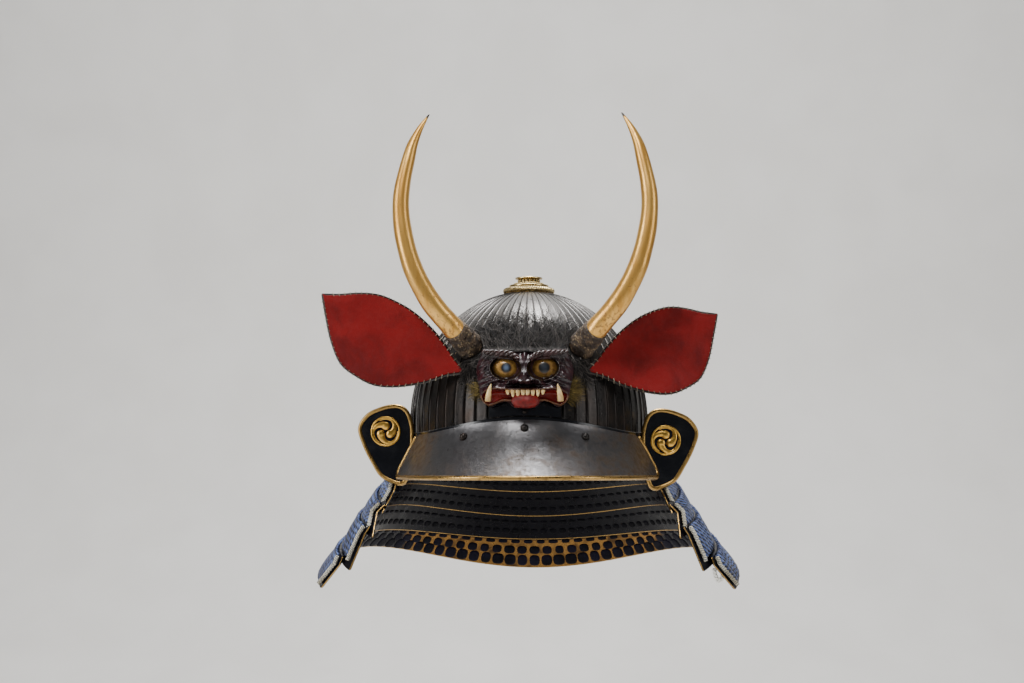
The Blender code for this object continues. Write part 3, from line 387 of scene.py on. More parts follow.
def shell(outer, inner, wrap):
    # a closed wall between two grids of as many rows and columns
    rows, columns = outer.shape[:2]
    count = rows * columns
    faceSets = [gridFaces(rows, columns, False, wrap), gridFaces(rows, columns, False, wrap, count)]
    column = np.arange(columns if wrap else columns - 1)
    edges = [(first + column, first + (column + 1) % columns) for first in (0, (rows - 1) * columns)]
    if not wrap:
        low = np.arange(rows - 1) * columns
        edges += [(low + last, low + columns + last) for last in (0, columns - 1)]
    faceSets += [np.stack([start, end, count + end, count + start], -1) for start, end in edges]
    return np.concatenate([outer.reshape(-1, 3), inner.reshape(-1, 3)]), faceSets


def unit(vectors):
    return vectors / np.maximum(np.linalg.norm(vectors, axis=-1, keepdims=True), 1e-12)


def spun(radius, angle, height=0.0):
    # points round Z: (r cos t, r sin t, height)
    return np.stack(np.broadcast_arrays(radius * np.cos(angle), radius * np.sin(angle), height), -1)


def pathFrame(paths, reference, closed):
    # side = tangent x reference and up = side x tangent, at each point of paths (..., k, 3)
    if closed:
        tangent = np.roll(paths, -1, -2) - np.roll(paths, 1, -2)
    else:
        tangent = np.gradient(paths, axis=-2)
    tangent = unit(tangent)
    side = unit(np.cross(tangent, np.broadcast_to(reference, paths.shape)))
    return side, np.cross(side, tangent)


def pathLength(paths):
    # the length of each path up to each of its points
    steps = np.linalg.norm(np.diff(paths, axis=-2), axis=-1)
    return np.concatenate([np.zeros(steps.shape[:-1] + (1,)), np.cumsum(steps, -1)], -1)


def surfaceNormal(surface, first, second, near, nearSecond):
    # the cross product of the surface's small changes along its two parameters
    along = surface(first + near, second) - surface(first - near, second)
    rise = surface(first, second + nearSecond) - surface(first, second - nearSecond)
    return unit(np.cross(along, rise))


def tubes(paths, radii, reference, count=8, flat=1.0, closed=False):
    # tubes along paths (n, k, 3): ring point = p + r (cos a side + flat sin a up), with each point's
    # (a share, length)
    paths = np.asarray(paths, float)
    if paths.ndim == 2:
        paths = paths[None]
    many, knots = paths.shape[:2]
    side, up = pathFrame(paths, reference, closed)
    angle = turn * np.arange(count) / count
    radii = np.broadcast_to(radii, (many, knots))[..., None, None]
    ring = np.cos(angle)[:, None] * side[:, :, None] + flat * np.sin(angle)[:, None] * up[:, :, None]
    points = paths[:, :, None] + radii * ring
    ringAt = np.arange(many * knots).reshape(many, knots) * count
    first = ringAt if closed else ringAt[:, :-1]
    second = np.roll(ringAt, -1, 1) if closed else ringAt[:, 1:]
    around = np.arange(count)
    after = (around + 1) % count
    faceSets = [np.stack([first[..., None] + around, second[..., None] + around,
                          second[..., None] + after, first[..., None] + after], -1).reshape(-1, 4)]
    if not closed:
        faceSets.append((ringAt[:, 0][:, None] + around).reshape(-1, count))
        faceSets.append((ringAt[:, -1][:, None] + around[::-1]).reshape(-1, count))
    uv = np.stack(np.broadcast_arrays(around / count, pathLength(paths)[..., None]), -1)
    return points.reshape(-1, 3), faceSets, uv.reshape(-1, 2)


def rope(path, radius, strands, pitch, reference, count=6, closed=False, taper=None):
    # strands wound round a path: strand centre = p + 0.52 r (cos b side + sin b up), b = turn s / pitch
    path = np.asarray(path, float)
    side, up = pathFrame(path, reference, closed)
    share = np.ones(len(path)) if taper is None else taper
    wound = []
    for strand in range(strands):
        angle = (turn * (pathLength(path) / pitch + strand / strands))[:, None]
        wound.append(path + 0.52 * radius * share[:, None] * (np.cos(angle) * side + np.sin(angle) * up))
    return tubes(np.array(wound), 0.54 * radius * share, reference, count, 1.0, closed)


def joined(parts):
    # several meshes as one: their points, their faces and their places on a cord
    points, faceSets, uvs, start = [], [], [], 0
    for part in parts:
        points.append(np.asarray(part[0]).reshape(-1, 3))
        faceSets += [np.asarray(faceSet) + start for faceSet in part[1]]
        uvs.append(part[2] if len(part) > 2 else np.zeros((len(points[-1]), 2)))
        start += len(points[-1])
    return np.concatenate(points), faceSets, np.concatenate(uvs)


def balls(centres, axes, segments=10, rings=6, square=1.0):
    # ellipsoids: point = centre + sin(p) cos(q) axis0 + sin(p) sin(q) axis1 + cos(p) axis2; a power
    # under 1 on the sine and cosine of q squares them off
    centres, axes = np.asarray(centres, float), np.asarray(axes, float)
    across = turn * np.arange(segments) / segments
    down = np.pi * (np.arange(rings) + 0.5) / rings
    flat = [np.sign(wave) * np.abs(wave) ** square for wave in (np.cos(across), np.sin(across))]
    globe = np.stack([np.sin(down)[:, None] * flat[0], np.sin(down)[:, None] * flat[1],
                      np.cos(down)[:, None] * np.ones(segments)], -1).reshape(-1, 3)
    points = centres[:, None] + globe @ axes
    count = rings * segments
    start = (np.arange(len(centres)) * count)[:, None]
    quads = (gridFaces(rings, segments, False, True)[None, :, ::-1] + start[..., None]).reshape(-1, 4)
    around = np.arange(segments)
    top = start + around
    bottom = start + count - 1 - around
    return points.reshape(-1, 3), [quads, top, bottom], np.zeros((len(centres) * count, 2))


def lathe(profile, steps=96):
    # a closed section (radius, height) turned about Z
    profile = np.asarray(profile, float)
    points = spun(profile[:, :1], turn * np.arange(steps) / steps, profile[:, 1:])
    return points.reshape(-1, 3), [gridFaces(len(profile), steps, True, True)]


def cubicBlend(start, end, slopeStart, slopeEnd, share):
    # a cubic from start to end that leaves and arrives with the given slopes
    square, cube = share ** 2, share ** 3
    return (start * (2 * cube - 3 * square + 1) + slopeStart * (cube - 2 * square + share)
            + end * (3 * square - 2 * cube) + slopeEnd * (cube - square))


def smoothRead(places, values, at):
    # a smooth curve through the rows: cubic pieces whose slopes come from the rows on each side
    places, values, at = np.asarray(places, float), np.asarray(values, float), np.asarray(at, float)
    index = np.clip(np.searchsorted(places, at, side="right") - 1, 0, len(places) - 2)
    before, after = np.maximum(index - 1, 0), np.minimum(index + 2, len(places) - 1)
    gaps = places[index + 1] - places[index]
    slopeLow = (values[index + 1] - values[before]) / (places[index + 1] - places[before]) * gaps
    slopeHigh = (values[after] - values[index]) / (places[after] - places[index]) * gaps
    return cubicBlend(values[index], values[index + 1], slopeLow, slopeHigh, (at - places[index]) / gaps)


def smoothLoop(corners, steps):
    # a closed curve through corner points, with as many steps between neighbours
    corners = np.asarray(corners, float)
    before, after, later = np.roll(corners, 1, 0), np.roll(corners, -1, 0), np.roll(corners, -2, 0)
    share = (np.arange(steps) / steps)[None, :, None]
    points = cubicBlend(corners[:, None], after[:, None], (after - before)[:, None] / 2,
                        (later - corners)[:, None] / 2, share)
    return points.reshape(-1, corners.shape[1])


def softStep(value, low, high):
    # 0 at low, 1 at high, smooth at both
    share = np.clip((value - low) / (high - low), 0.0, 1.0)
    return share * share * (3 - 2 * share)


bowl = {
    "halfWidth": 0.103, "halfLength": 0.116, "height": 0.128, "upright": 0.014, "wall": 0.0022,
    "browArch": 0.011, "browSpread": math.radians(62), "plates": 62, "rib": 0.0013, "ribCrown": 0.35,
    "hole": 0.015, "rows": 52, "footRows": (0.0, 0.1, 0.4, 0.7), "ribWidth": 0.055, "plateRise": 0.22,
    "ribPlaces": (0.0, 0.03, 0.06, 0.10, 0.16, 0.30, 0.50, 0.70, 0.84, 0.90, 0.94, 0.97),
}
bowlRise = bowl["height"] - bowl["upright"]
gap = 0.0003


def rimHeight(angle):
    # the rim rises over the brow: h = arch cos^2(90 degrees t / spread)
    share = np.abs(np.arctan2(np.sin(angle), np.cos(angle))) / bowl["browSpread"]
    return np.where(share < 1, bowl["browArch"] * np.cos(np.minimum(share, 1) * np.pi / 2) ** 2, 0.0)


def oval(angle, offset, height):
    # the bowl's plan, grown by an offset: (a sin t, -b cos t, height)
    return np.stack(np.broadcast_arrays((bowl["halfWidth"] + offset) * np.sin(angle),
                                        -(bowl["halfLength"] + offset) * np.cos(angle), height), -1)


def bowlPoint(angle, height, offset):
    # the dome: plan shrunk by cos c and height = upright + rise sin c
    climb = np.arcsin(np.clip((height - bowl["upright"]) / (bowlRise + offset), 0.0, 1.0))
    flat = oval(angle, offset, 0.0) * np.cos(climb)[..., None]
    flat[..., 2] = height
    return flat


def bowlFront(across, height, offset):
    # the dome's front at a place across and up
    across, height = np.broadcast_arrays(np.asarray(across, float), np.asarray(height, float))
    level = bowlPoint(np.full(across.shape, np.pi / 2), height, offset)[..., 0]
    return bowlPoint(np.arcsin(np.clip(across / level, -1, 1)), height, offset)


def bowlNormal(angle, height):
    angle, height = np.broadcast_arrays(np.asarray(angle, float), np.asarray(height, float))
    return surfaceNormal(lambda spin, level: bowlPoint(spin, level, 0.0), angle, height, 0.01, 0.01 * 0.1)


def makeBowl(material):
    # each plate climbs gently to a thin upright rib that stands over the next plate
    pitch = turn / bowl["plates"]
    places = np.array(bowl["ribPlaces"])
    angle = (np.arange(bowl["plates"])[:, None] + places).ravel() * pitch
    near = np.minimum(places, 1 - places)
    rib = np.exp(-(near / bowl["ribWidth"]) ** 2) + bowl["plateRise"] * places * (near > 0)
    rib = bowl["rib"] * np.minimum(np.tile(rib, bowl["plates"]), 1.0)
    climbs = np.linspace(0.0, math.acos(bowl["hole"] / bowl["halfWidth"]), bowl["rows"])
    walls = []
    for lift in (rib, np.full(angle.shape, -bowl["wall"])):
        low, high = oval(angle, lift, rimHeight(angle)), oval(angle, lift, bowl["upright"])
        rows = [low + (high - low) * share for share in bowl["footRows"]]
        for climb in climbs:
            fade = bowl["ribCrown"] + (1 - bowl["ribCrown"]) * math.cos(climb)
            offset = np.where(lift > 0, lift * fade, lift)
            ring = oval(angle, offset, 0.0) * math.cos(climb)
            ring[:, 2] = bowl["upright"] + (bowlRise + offset) * math.sin(climb)
            rows.append(ring)
        walls.append(np.array(rows))
    points, faceSets = shell(walls[0], walls[1], True)
    addPiece("ribbed_bowl", points, faceSets, material, "russet_iron", ["bowl"], sharp=50)


crown = {
    "ropeMiddle": 0.0205, "ropeRadius": 0.0024, "ropeStrands": 3, "ropePitch": 0.0062, "ropeSteps": 240,
    "ropeLift": 0.0016, "vent": 0.006, "bevel": 0.0003, "beadTier": 0.0134,
    "beads": 34, "beadRadius": 0.00078, "petals": 26, "petalRing": 0.0152, "petal": (0.0022, 0.0017, 0.0004),
    "flutes": 18, "fluteRing": 0.0093, "flute": (0.0007, 0.0011, 0.0013), "flange": 0.0014,
}


def roundedSection(inner, outer, low, high, bevel):
    # a flat ring's section with its outer corners broken
    return [(inner, low), (outer - bevel, low), (outer, low + bevel), (outer, high - bevel),
            (outer - bevel, high), (inner, high)]


def blobRing(count, radius, height, size):
    # small ellipsoids spaced round Z; size is (outwards, round, upwards)
    out = spun(1.0, turn * np.arange(count) / count)
    axes = np.stack([out * size[0], np.cross((0, 0, 1), out) * size[1],
                     np.tile((0, 0, size[2]), (count, 1))], 1)
    return balls(out * radius + np.array((0, 0, height)), axes)


def makeCrown(material):
    # rope ring, beaded tiers and a flanged collar, open in the middle
    ringLow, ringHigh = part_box("crown_rope_ring")
    tierLow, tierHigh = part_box("crown_tiers")
    collarLow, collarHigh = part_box("crown_collar")
    bevel, vent, hole, steps = crown["bevel"], crown["vent"], bowl["hole"], crown["ropeSteps"]
    path = spun(crown["ropeMiddle"], turn * np.arange(steps) / steps, ringLow.z + crown["ropeLift"])
    around = turn * crown["ropeMiddle"]
    pitch = around / round(around / crown["ropePitch"]) * steps / (steps - 1)
    cord = rope(path, crown["ropeRadius"], crown["ropeStrands"], pitch, (0, 0, 1), 8, True)
    base = lathe([(hole, ringHigh.z - 0.0009), (ringHigh.x - 0.0040, ringHigh.z - 0.0009),
                  (ringHigh.x - 0.0022, ringLow.z + 0.0002), (ringHigh.x - 0.0010, ringLow.z - 0.0010),
                  (hole, ringLow.z + 0.0012)])
    middle = (tierLow.z + tierHigh.z) / 2
    lower = lathe(roundedSection(vent, tierHigh.x - 0.0002, tierLow.z, middle - 0.0001, bevel))
    upper = lathe(roundedSection(vent, crown["beadTier"] - 0.0006, middle, tierHigh.z, bevel))
    spin = turn * np.arange(crown["beads"]) / crown["beads"]
    centres = spun(crown["beadTier"] - 0.0004, spin, (middle + tierHigh.z) / 2)
    beads = balls(centres, np.tile(np.eye(3) * crown["beadRadius"], (len(spin), 1, 1)))
    petals = blobRing(crown["petals"], crown["petalRing"], middle - 0.0001, crown["petal"])
    top, edge = collarHigh.z, collarHigh.x
    flange = top - crown["flange"]
    section = [(vent, collarLow.z), (0.0098, collarLow.z), (0.0088, collarLow.z + 0.0008),
               (0.0086, flange - 0.0012), (0.0094, flange - 0.0002), (edge - bevel, flange),
               (edge, flange + bevel), (edge, top - bevel), (edge - bevel, top), (0.0100, top),
               (0.0096, top - 0.0004), (vent, top - 0.0004)]
    flutes = blobRing(crown["flutes"], crown["fluteRing"], (collarLow.z + flange) / 2, crown["flute"])
    for name, parts, node in (("crown_rope", [cord, base], "crown_rope_ring"),
                              ("crown_tiers_beaded", [lower, upper, beads, petals], "crown_tiers"),
                              ("crown_collar_fluted", [lathe(section), flutes], "crown_collar")):
        addPiece(name, *joined(parts)[:2], material, "gilt_copper", [node], sharp=40)


band = {"wall": 0.0014, "rise": 0.0025, "drop": 0.009, "bevel": 0.0003, "steps": 248}
bandInner = bowl["rib"] + gap
bandOuter = bandInner + band["wall"]


def makeBand(material):
    # the hoop round the bowl's foot, with its edges broken
    angle = turn * np.arange(band["steps"]) / band["steps"]
    bevel, rise, drop = band["bevel"], band["rise"], band["drop"]
    section = [(-drop + bevel, bandOuter), (rise - bevel, bandOuter), (rise, bandOuter - bevel),
               (rise, bandInner), (-drop, bandInner), (-drop, bandOuter - bevel)]
    rows = np.array([oval(angle, offset, rimHeight(angle) + level) for level, offset in section])
    addPiece("foot_band", rows, [gridFaces(len(section), band["steps"], True, True)], material,
             "black_lacquer", ["base_band"], sharp=40)


visor = {"wall": 0.002, "reach": 0.034, "sideReach": 0.011, "drop": 0.034, "topAngle": math.radians(56),
         "edgeAngle": math.radians(69), "flare": 1.3, "corner": 0.24, "rim": 0.0016, "rivet": 0.0072,
         "rivets": {"left": (-0.43, 0.23), "middle": (0.0, 0.15), "right": (0.42, 0.23)},
         "columns": 121, "rows": 33}


def visorPoint(across, down, offset=0.0):
    # from the hoop, out and down to the edge: plan share = down^flare, height share = down
    across, down = np.broadcast_arrays(np.asarray(across, float), np.asarray(down, float))
    seat = bandOuter + gap + visor["wall"] + offset
    edgeAngle = across * (visor["topAngle"] + (visor["edgeAngle"] - visor["topAngle"]) * np.sqrt(down))
    top = oval(edgeAngle, seat, rimHeight(edgeAngle))
    edge = np.stack([(bowl["halfWidth"] + seat + visor["sideReach"]) * np.sin(edgeAngle),
                     -(bowl["halfLength"] + seat + visor["reach"]) * np.cos(edgeAngle),
                     np.full(across.shape, -visor["drop"])], -1)
    flare = np.stack([down ** visor["flare"], down ** visor["flare"], down], -1)
    return top + (edge - top) * flare


def visorReach(across):
    # how far down the plate goes: its lower corners are rounded off
    start = 1 - visor["corner"] / 3
    share = np.clip((np.abs(across) - start) / (1 - start), 0.0, 1.0)
    return 1 - visor["corner"] * (1 - np.sqrt(1 - share ** 2))


def visorNormal(across, down):
    return surfaceNormal(visorPoint, across, down, 0.01, -0.01)


def rivetHead(place, normal, width, height):
    # a turned dome with a small foot ring, standing on a plate
    radius = width / 2
    share = np.linspace(0.0, 1.0, 9)
    section = [(0.00002, -0.0004), (radius, -0.0004), (radius, 0.0003)]
    section += list(zip(radius * 0.86 * np.cos(share * np.pi / 2) + 0.00002,
                        0.0003 + (height - 0.0003) * np.sin(share * np.pi / 2)))
    points, faceSets = lathe(section, 32)
    spin = np.array(Vector((0, 0, 1)).rotation_difference(Vector(normal)).to_matrix())
    return points @ spin.T + np.asarray(place), faceSets


def makeVisor(iron, gilt, dark):
    corner = visor["corner"] / 3
    middle = np.linspace(-1 + corner, 1 - corner, visor["columns"])
    bend = 1 - corner + corner * np.sin(np.linspace(0, np.pi / 2, 12))[1:]
    across = np.concatenate([-bend[::-1], middle, bend])
    down = np.linspace(0.0, 1.0, visor["rows"])[:, None] * visorReach(across)
    outer = visorPoint(across[None, :], down)
    inner = outer - visorNormal(across[None, :], np.clip(down, 0.02, 0.98)) * visor["wall"]
    rows, columns = outer.shape[:2]
    ground = np.maximum(np.linspace(0, 1, rows)[:, None] ** 3, np.abs(across[None, :]) ** 6)
    edge = np.tile(ground.ravel(), 2)
    points, faceSets = shell(outer, inner, False)
    addPiece("visor_plate", points, faceSets, iron, "russet_iron", ["visor"], {"edge": edge}, sharp=50)

    side = np.linspace(0.10, 1.0, 14)[:-1] * visorReach(1.0)
    border = np.concatenate([visorPoint(-1.0, side), visorPoint(across, visorReach(across)),
                             visorPoint(1.0, side[::-1])])
    within = np.concatenate([visorPoint(-0.9, side), visorPoint(across * 0.96, visorReach(across) - 0.1),
                             visorPoint(0.9, side[::-1])])
    normal = np.concatenate([visorNormal(-1.0, side), visorNormal(across, visorReach(across) - 0.02),
                             visorNormal(1.0, side[::-1])])
    tangent = unit(np.gradient(border, axis=0))
    away = border - within
    away = unit(away - tangent * np.sum(away * tangent, -1, keepdims=True))
    path = border + away * (visor["rim"] * 0.7) - normal * visor["wall"] * 0.4
    points, faceSets, _ = tubes(path, visor["rim"] * 1.2, normal, 12)
    addPiece("visor_rim_gilt", points, faceSets, gilt, "gilt_copper", ["visor_rim"], outward=False)
    for name, (where, low) in visor["rivets"].items():
        place, normal = visorPoint(where, low), visorNormal(where, low)
        points, faceSets = rivetHead(place, normal, visor["rivet"], 0.0034)
        addPiece("rivet_head_" + name, points, faceSets, dark, "russet_iron", ["visor_rivet_" + name],
                 {"edge": np.zeros(len(points))}, sharp=50)


holder = {"width": 0.058, "foot": 0.001, "top": 0.45, "wall": 0.002, "rivet": 0.0036, "rivetPlace": 0.135}
holderOuter = bowl["rib"] + gap + holder["wall"]


def makeHolder(lacquer, iron):
    # the smooth plate under the mask: its lower edge follows the hoop
    across = np.linspace(-0.5, 0.5, 49) * holder["width"]
    foot = rimHeight(across / bowl["halfWidth"]) + band["rise"] + holder["foot"]
    share = np.linspace(0, 1, 17)[:, None]
    height = foot + (holder["top"] * bowl["height"] - foot) * share
    outer = bowlFront(np.broadcast_to(across, height.shape), height, holderOuter)
    inner = bowlFront(np.broadcast_to(across, height.shape), height, bowl["rib"] + gap)
    points, faceSets = shell(outer, inner, False)
    addPiece("holder_plate", points, faceSets, lacquer, "black_lacquer", ["mask_holder"], sharp=50)
    height = holder["rivetPlace"] * bowl["height"]
    points, faceSets = rivetHead(bowlPoint(np.array(0.0), np.array(height), holderOuter),
                                 bowlNormal(0.0, height), holder["rivet"], 0.0018)
    addPiece("holder_rivet_head", points, faceSets, iron, "russet_iron", ["holder_rivet"],
             {"edge": np.zeros(len(points))}, sharp=50)


# Mask places are millimetres across and up from the mask's middle
mask = {
    "width": 78.0, "height": 48.0, "middle": 0.345, "edge": 4.0,
    "columns": 221, "rows": 141, "body": 7.0,
    "eye": (15.0, 8.0), "eyeSize": (11.4, 9.0), "eyeTilt": 0.05,
    "brow": ((34.0, 21.8), (28.0, 20.9), (21.0, 20.3), (13.5, 19.8), (8.0, 18.0), (4.4, 14.6), (3.6, 12.0)),
    "upperLip": ((34.0, -12.0), (29.0, -9.4), (21.0, -8.6), (13.0, -9.4), (6.0, -9.6), (0.0, -9.4)),
    "lowerLip": ((35.0, -14.5), (32.5, -19.5), (28.5, -21.8), (23.5, -20.2), (17.0, -17.9), (10.5, -18.2)),
    "wing": ((3.6, -4.4), (7.0, -2.0), (11.5, -3.0), (16.5, -6.0)),
    "outline": ((-24.0, 27.0), (-20.0, 32.5), (-16.0, 35.2), (-9.0, 36.4), (-3.0, 37.8), (4.0, 39.0),
                (10.0, 38.8), (16.0, 36.6), (20.0, 34.8), (24.0, 34.0)),
    "chin": ((0.0, -23.6), (9.0, -23.0), (14.0, -19.0), (20.0, -19.6), (25.0, -22.4), (29.0, -23.8),
             (40.0, -23.0)),
}
lid = {"inner": 3.4, "outer": 26.6, "level": 12.6, "arch": 2.6, "fall": 1.4, "knots": 50, "radius": 0.0015,
       "forward": 0.0042, "curl": 0.0050, "raise": 0.7}
brow = {"knots": 90, "radius": 0.0027, "strands": 3, "pitch": 0.0125, "sink": 0.0003}


def maskLevel(up):
    return mask["middle"] * bowl["height"] + up / 1000


def curveDistance(x, z, corners):
    # distance from each point to a run of straight pieces
    nearest = np.full(x.shape, 1e9)
    for (x0, z0), (x1, z1) in zip(corners, corners[1:]):
        reach = (x1 - x0) ** 2 + (z1 - z0) ** 2
        share = np.clip(((x - x0) * (x1 - x0) + (z - z0) * (z1 - z0)) / reach, 0, 1)
        nearest = np.minimum(nearest, np.hypot(x - x0 - share * (x1 - x0), z - z0 - share * (z1 - z0)))
    return nearest


def lidLine(x):
    # the edge of the upper lid: a low arch that falls towards the nose
    arch = np.sin(np.pi * np.clip((x - 2.0) / 30, 0, 1))
    return lid["level"] + lid["arch"] * arch + lid["fall"] * (x - lid["inner"]) / 23


def bump(x, z, middle, level, wide, tall, lean=0.0):
    # exp(-(x / wide)^2 - (z / tall)^2) from a middle, with its level line leaning
    return np.exp(-((x - middle) / wide) ** 2 - ((z - level - lean * (x - middle)) / tall) ** 2)


def eyeRing(x, z):
    # 1 on the rim of the eye opening, less inside it
    wide, tall = mask["eyeSize"]
    lift = z - mask["eye"][1] - mask["eyeTilt"] * (x - mask["eye"][0])
    return np.hypot((x - mask["eye"][0]) / wide, lift / tall)


def maskHeight(across, up):
    # carving in millimetres in front of the mask's back plane; both halves alike
    x, z = np.abs(across), up
    nose = softStep(z, 15.0, 1.0)
    height = 4.5 * np.exp(-(curveDistance(x, z, mask["brow"]) / 3.4) ** 2)
    height += (2.6 + 9.5 * nose) * np.exp(-(x / (2.4 + 2.8 * nose)) ** 2) * softStep(z, -7.5, -3.0)
    height += 4.0 * bump(x, z, 0, 1.0, 3.6, 4.0) + 2.0 * bump(x, z, 0, 18.5, 1.5, 4.5)
    height += 8.0 * np.exp(-(curveDistance(x, z, mask["wing"]) / 2.2) ** 2) * softStep(x, 18.5, 12.0)
    height -= 4.0 * bump(x, z, 5.0, -5.6, 2.4, 1.3)
    ring = eyeRing(x, z)
    opened = softStep(ring, 1.12, 0.92) * softStep(z - lidLine(x), 1.6, 0.2)
    height -= 6.0 * opened + 1.5 * bump(x, z, 15, 8, 15, 11)
    height += 2.6 * np.exp(-((ring - 1.15) / 0.09) ** 2) * softStep(z, 17, 10)
    height += 1.6 * np.exp(-((ring - 1.46) / 0.08) ** 2) * softStep(z, 5, -2)
    height += 6.0 * bump(x, z, 27, -3.0, 8.5, 5.0, 0.2) + 3.0 * bump(x, z, 34, 7, 4.0, 9)
    folds = np.cos((z + 0.30 * x) * 1.35) * bump(x, z, 28, -2.5, 9, 5.0)
    folds += np.cos((z + 0.9 * x) * 1.0) * bump(x, z, 34, 9, 4.0, 8) * 0.9
    height += 1.5 * folds
    upper = curveDistance(x, z, mask["upperLip"])
    lower = curveDistance(x, z, mask["lowerLip"])
    height += 5.6 * np.exp(-(upper / 2.0) ** 2) * softStep(x, 36, 32)
    height -= 6.0 * mouthShare(x, z)
    height += 3.8 * np.exp(-(lower / 1.3) ** 2)
    return height


def mouthShare(x, z):
    # 1 inside the open mouth: between the two lip curves
    places = np.array(mask["upperLip"])[::-1]
    top = np.interp(x, places[:, 0], places[:, 1]) - 1.4
    places = np.array(((0.0, -27.0), (8.0, -26.0)) + mask["lowerLip"][::-1])
    bottom = np.interp(x, places[:, 0], places[:, 1]) + 0.9
    opened = softStep(z, top + 0.9, top - 0.9) * softStep(z, bottom - 0.5, bottom + 0.9)
    return opened * softStep(x, 34.5, 32.5)


def maskOutline(share):
    # half-width of the face at a share of its height, as a share of the widest
    rows = np.array(mask["outline"])
    return smoothRead(rows[:, 0], rows[:, 1], (2 * share - 1) * mask["height"] / 2) / (mask["width"] / 2)


def maskPoint(across, up, front=True):
    # a point on the mask's face, or on its back, for places in millimetres
    across, up = np.broadcast_arrays(np.asarray(across, float), np.asarray(up, float))
    back = bowlFront(across / 1000, maskLevel(up), holderOuter + gap)
    if not front:
        return back
    plane = bowlFront(0.0, maskLevel(0.0), holderOuter + gap)[..., 1]
    edge = np.maximum(np.abs(across) / (mask["width"] / 2), np.abs(up) / (mask["height"] / 2)) ** 6
    edge = np.minimum(edge, 1.0)
    depth = mask["edge"] + mask["body"] * (1 - edge) + maskHeight(across, up) * (1 - 0.55 * edge)
    back[..., 1] = np.minimum(np.minimum(back[..., 1], (back[..., 1] + plane) / 2) - depth / 1000,
                              back[..., 1] - mask["edge"] / 1000)
    return back


def maskNormal(across, up):
    return surfaceNormal(maskPoint, across, up, 0.4, 0.4)


def lidTube(side):
    # the heavy edge of the upper lid, which stands in front of the eye
    x = np.linspace(lid["inner"], lid["outer"], lid["knots"])
    front = maskPoint(side * mask["eye"][0], mask["eye"][1])[1]
    depth = lid["forward"] - lid["curl"] * ((x - mask["eye"][0]) / 12) ** 2
    path = np.stack([side * x / 1000, front - depth, maskLevel(lidLine(x) + lid["raise"])], -1)
    radius = lid["radius"] * (0.5 + 0.5 * np.sin(np.linspace(0.2, 2.9, lid["knots"])))
    return tubes(path, radius, (0, -1, 0), 10)


def browRope(side):
    # a twisted ridge along the brow, thinner at both ends
    corners = np.array(mask["brow"][:-1])
    along = np.linspace(0, len(corners) - 1, brow["knots"])
    x = smoothRead(np.arange(len(corners)), corners[:, 0], along) * side
    z = smoothRead(np.arange(len(corners)), corners[:, 1], along)
    normal = maskNormal(x, z)
    path = maskPoint(x, z) - normal * brow["sink"]
    taper = 0.40 + 0.60 * np.sin(np.pi * np.linspace(0.06, 0.94, brow["knots"])) ** 0.6
    return rope(path, brow["radius"], brow["strands"], brow["pitch"], normal, 10, taper=taper)


def makeMask(lacquer, eyeMetal, ivory, red):
    share = np.linspace(0, 1, mask["rows"])[:, None]
    across = np.linspace(-1, 1, mask["columns"]) * maskOutline(share) * mask["width"] / 2
    chin = np.array(mask["chin"])
    low = smoothRead(chin[:, 0], chin[:, 1], np.abs(across))
    up = low + (mask["height"] / 2 - low) * share
    outer, inner = maskPoint(across, up), maskPoint(across, up, False)
    x = np.abs(across)
    lowerLip = np.exp(-(curveDistance(x, up, mask["lowerLip"]) / 0.75) ** 2)
    upperLip = 0.6 * np.exp(-(curveDistance(x, up, mask["upperLip"]) / 0.6) ** 2) * softStep(x, 35, 31)
    # painted shade marks: a dark ring round each eye opening and a dark band under the nose
    socket = softStep(np.abs(eyeRing(x, up) - 1.06), 0.12, 0.04)
    underNoseShadow = 0.9 * np.exp(-((up + 6.4 - 0.04 * x) / 1.5) ** 2) * softStep(x, 15, 9)
    marks = {"mouth": mouthShare(x, up), "lip": np.maximum(lowerLip, upperLip),
             "hollowShade": np.maximum(socket, underNoseShadow), "bridge": bump(x, up, 0.0, 11.0, 6.0, 11.0)}
    marks = {name: np.concatenate([values.ravel(), np.zeros(x.size)]) for name, values in marks.items()}
    points, faceSets = shell(outer, inner, False)
    addPiece("demon_mask", points, faceSets, lacquer, "brown_lacquer", ["mask"], marks)
    parts = [part for side in (-1, 1) for part in (lidTube(side), browRope(side))]
    points, faceSets, _ = joined(parts)
    empty = np.zeros(len(points))
    marks = {"mouth": empty, "lip": empty + 0.10, "hollowShade": empty, "bridge": empty}
    addPiece("mask_brow_ropes", points, faceSets, lacquer, "brown_lacquer", (), marks, outward=False)
    for name, side in sides.items():
        makeEye(name, side, eyeMetal)
        makeTusk(name, side, ivory)
    makeTeeth(ivory)
    makeTongue(red)


eyeball = {
    "halfWidth": 0.0119, "halfHeight": 0.0096, "bulge": 0.0064, "cant": 0.0006, "depth": 0.0020,
    "lidGap": 0.6, "pupil": {"left": (0.0002, 0.0006, 0.0037), "right": (0.0008, 0.0006, 0.0042)},
    "glint": {"left": 1.0, "right": 0.12},
}


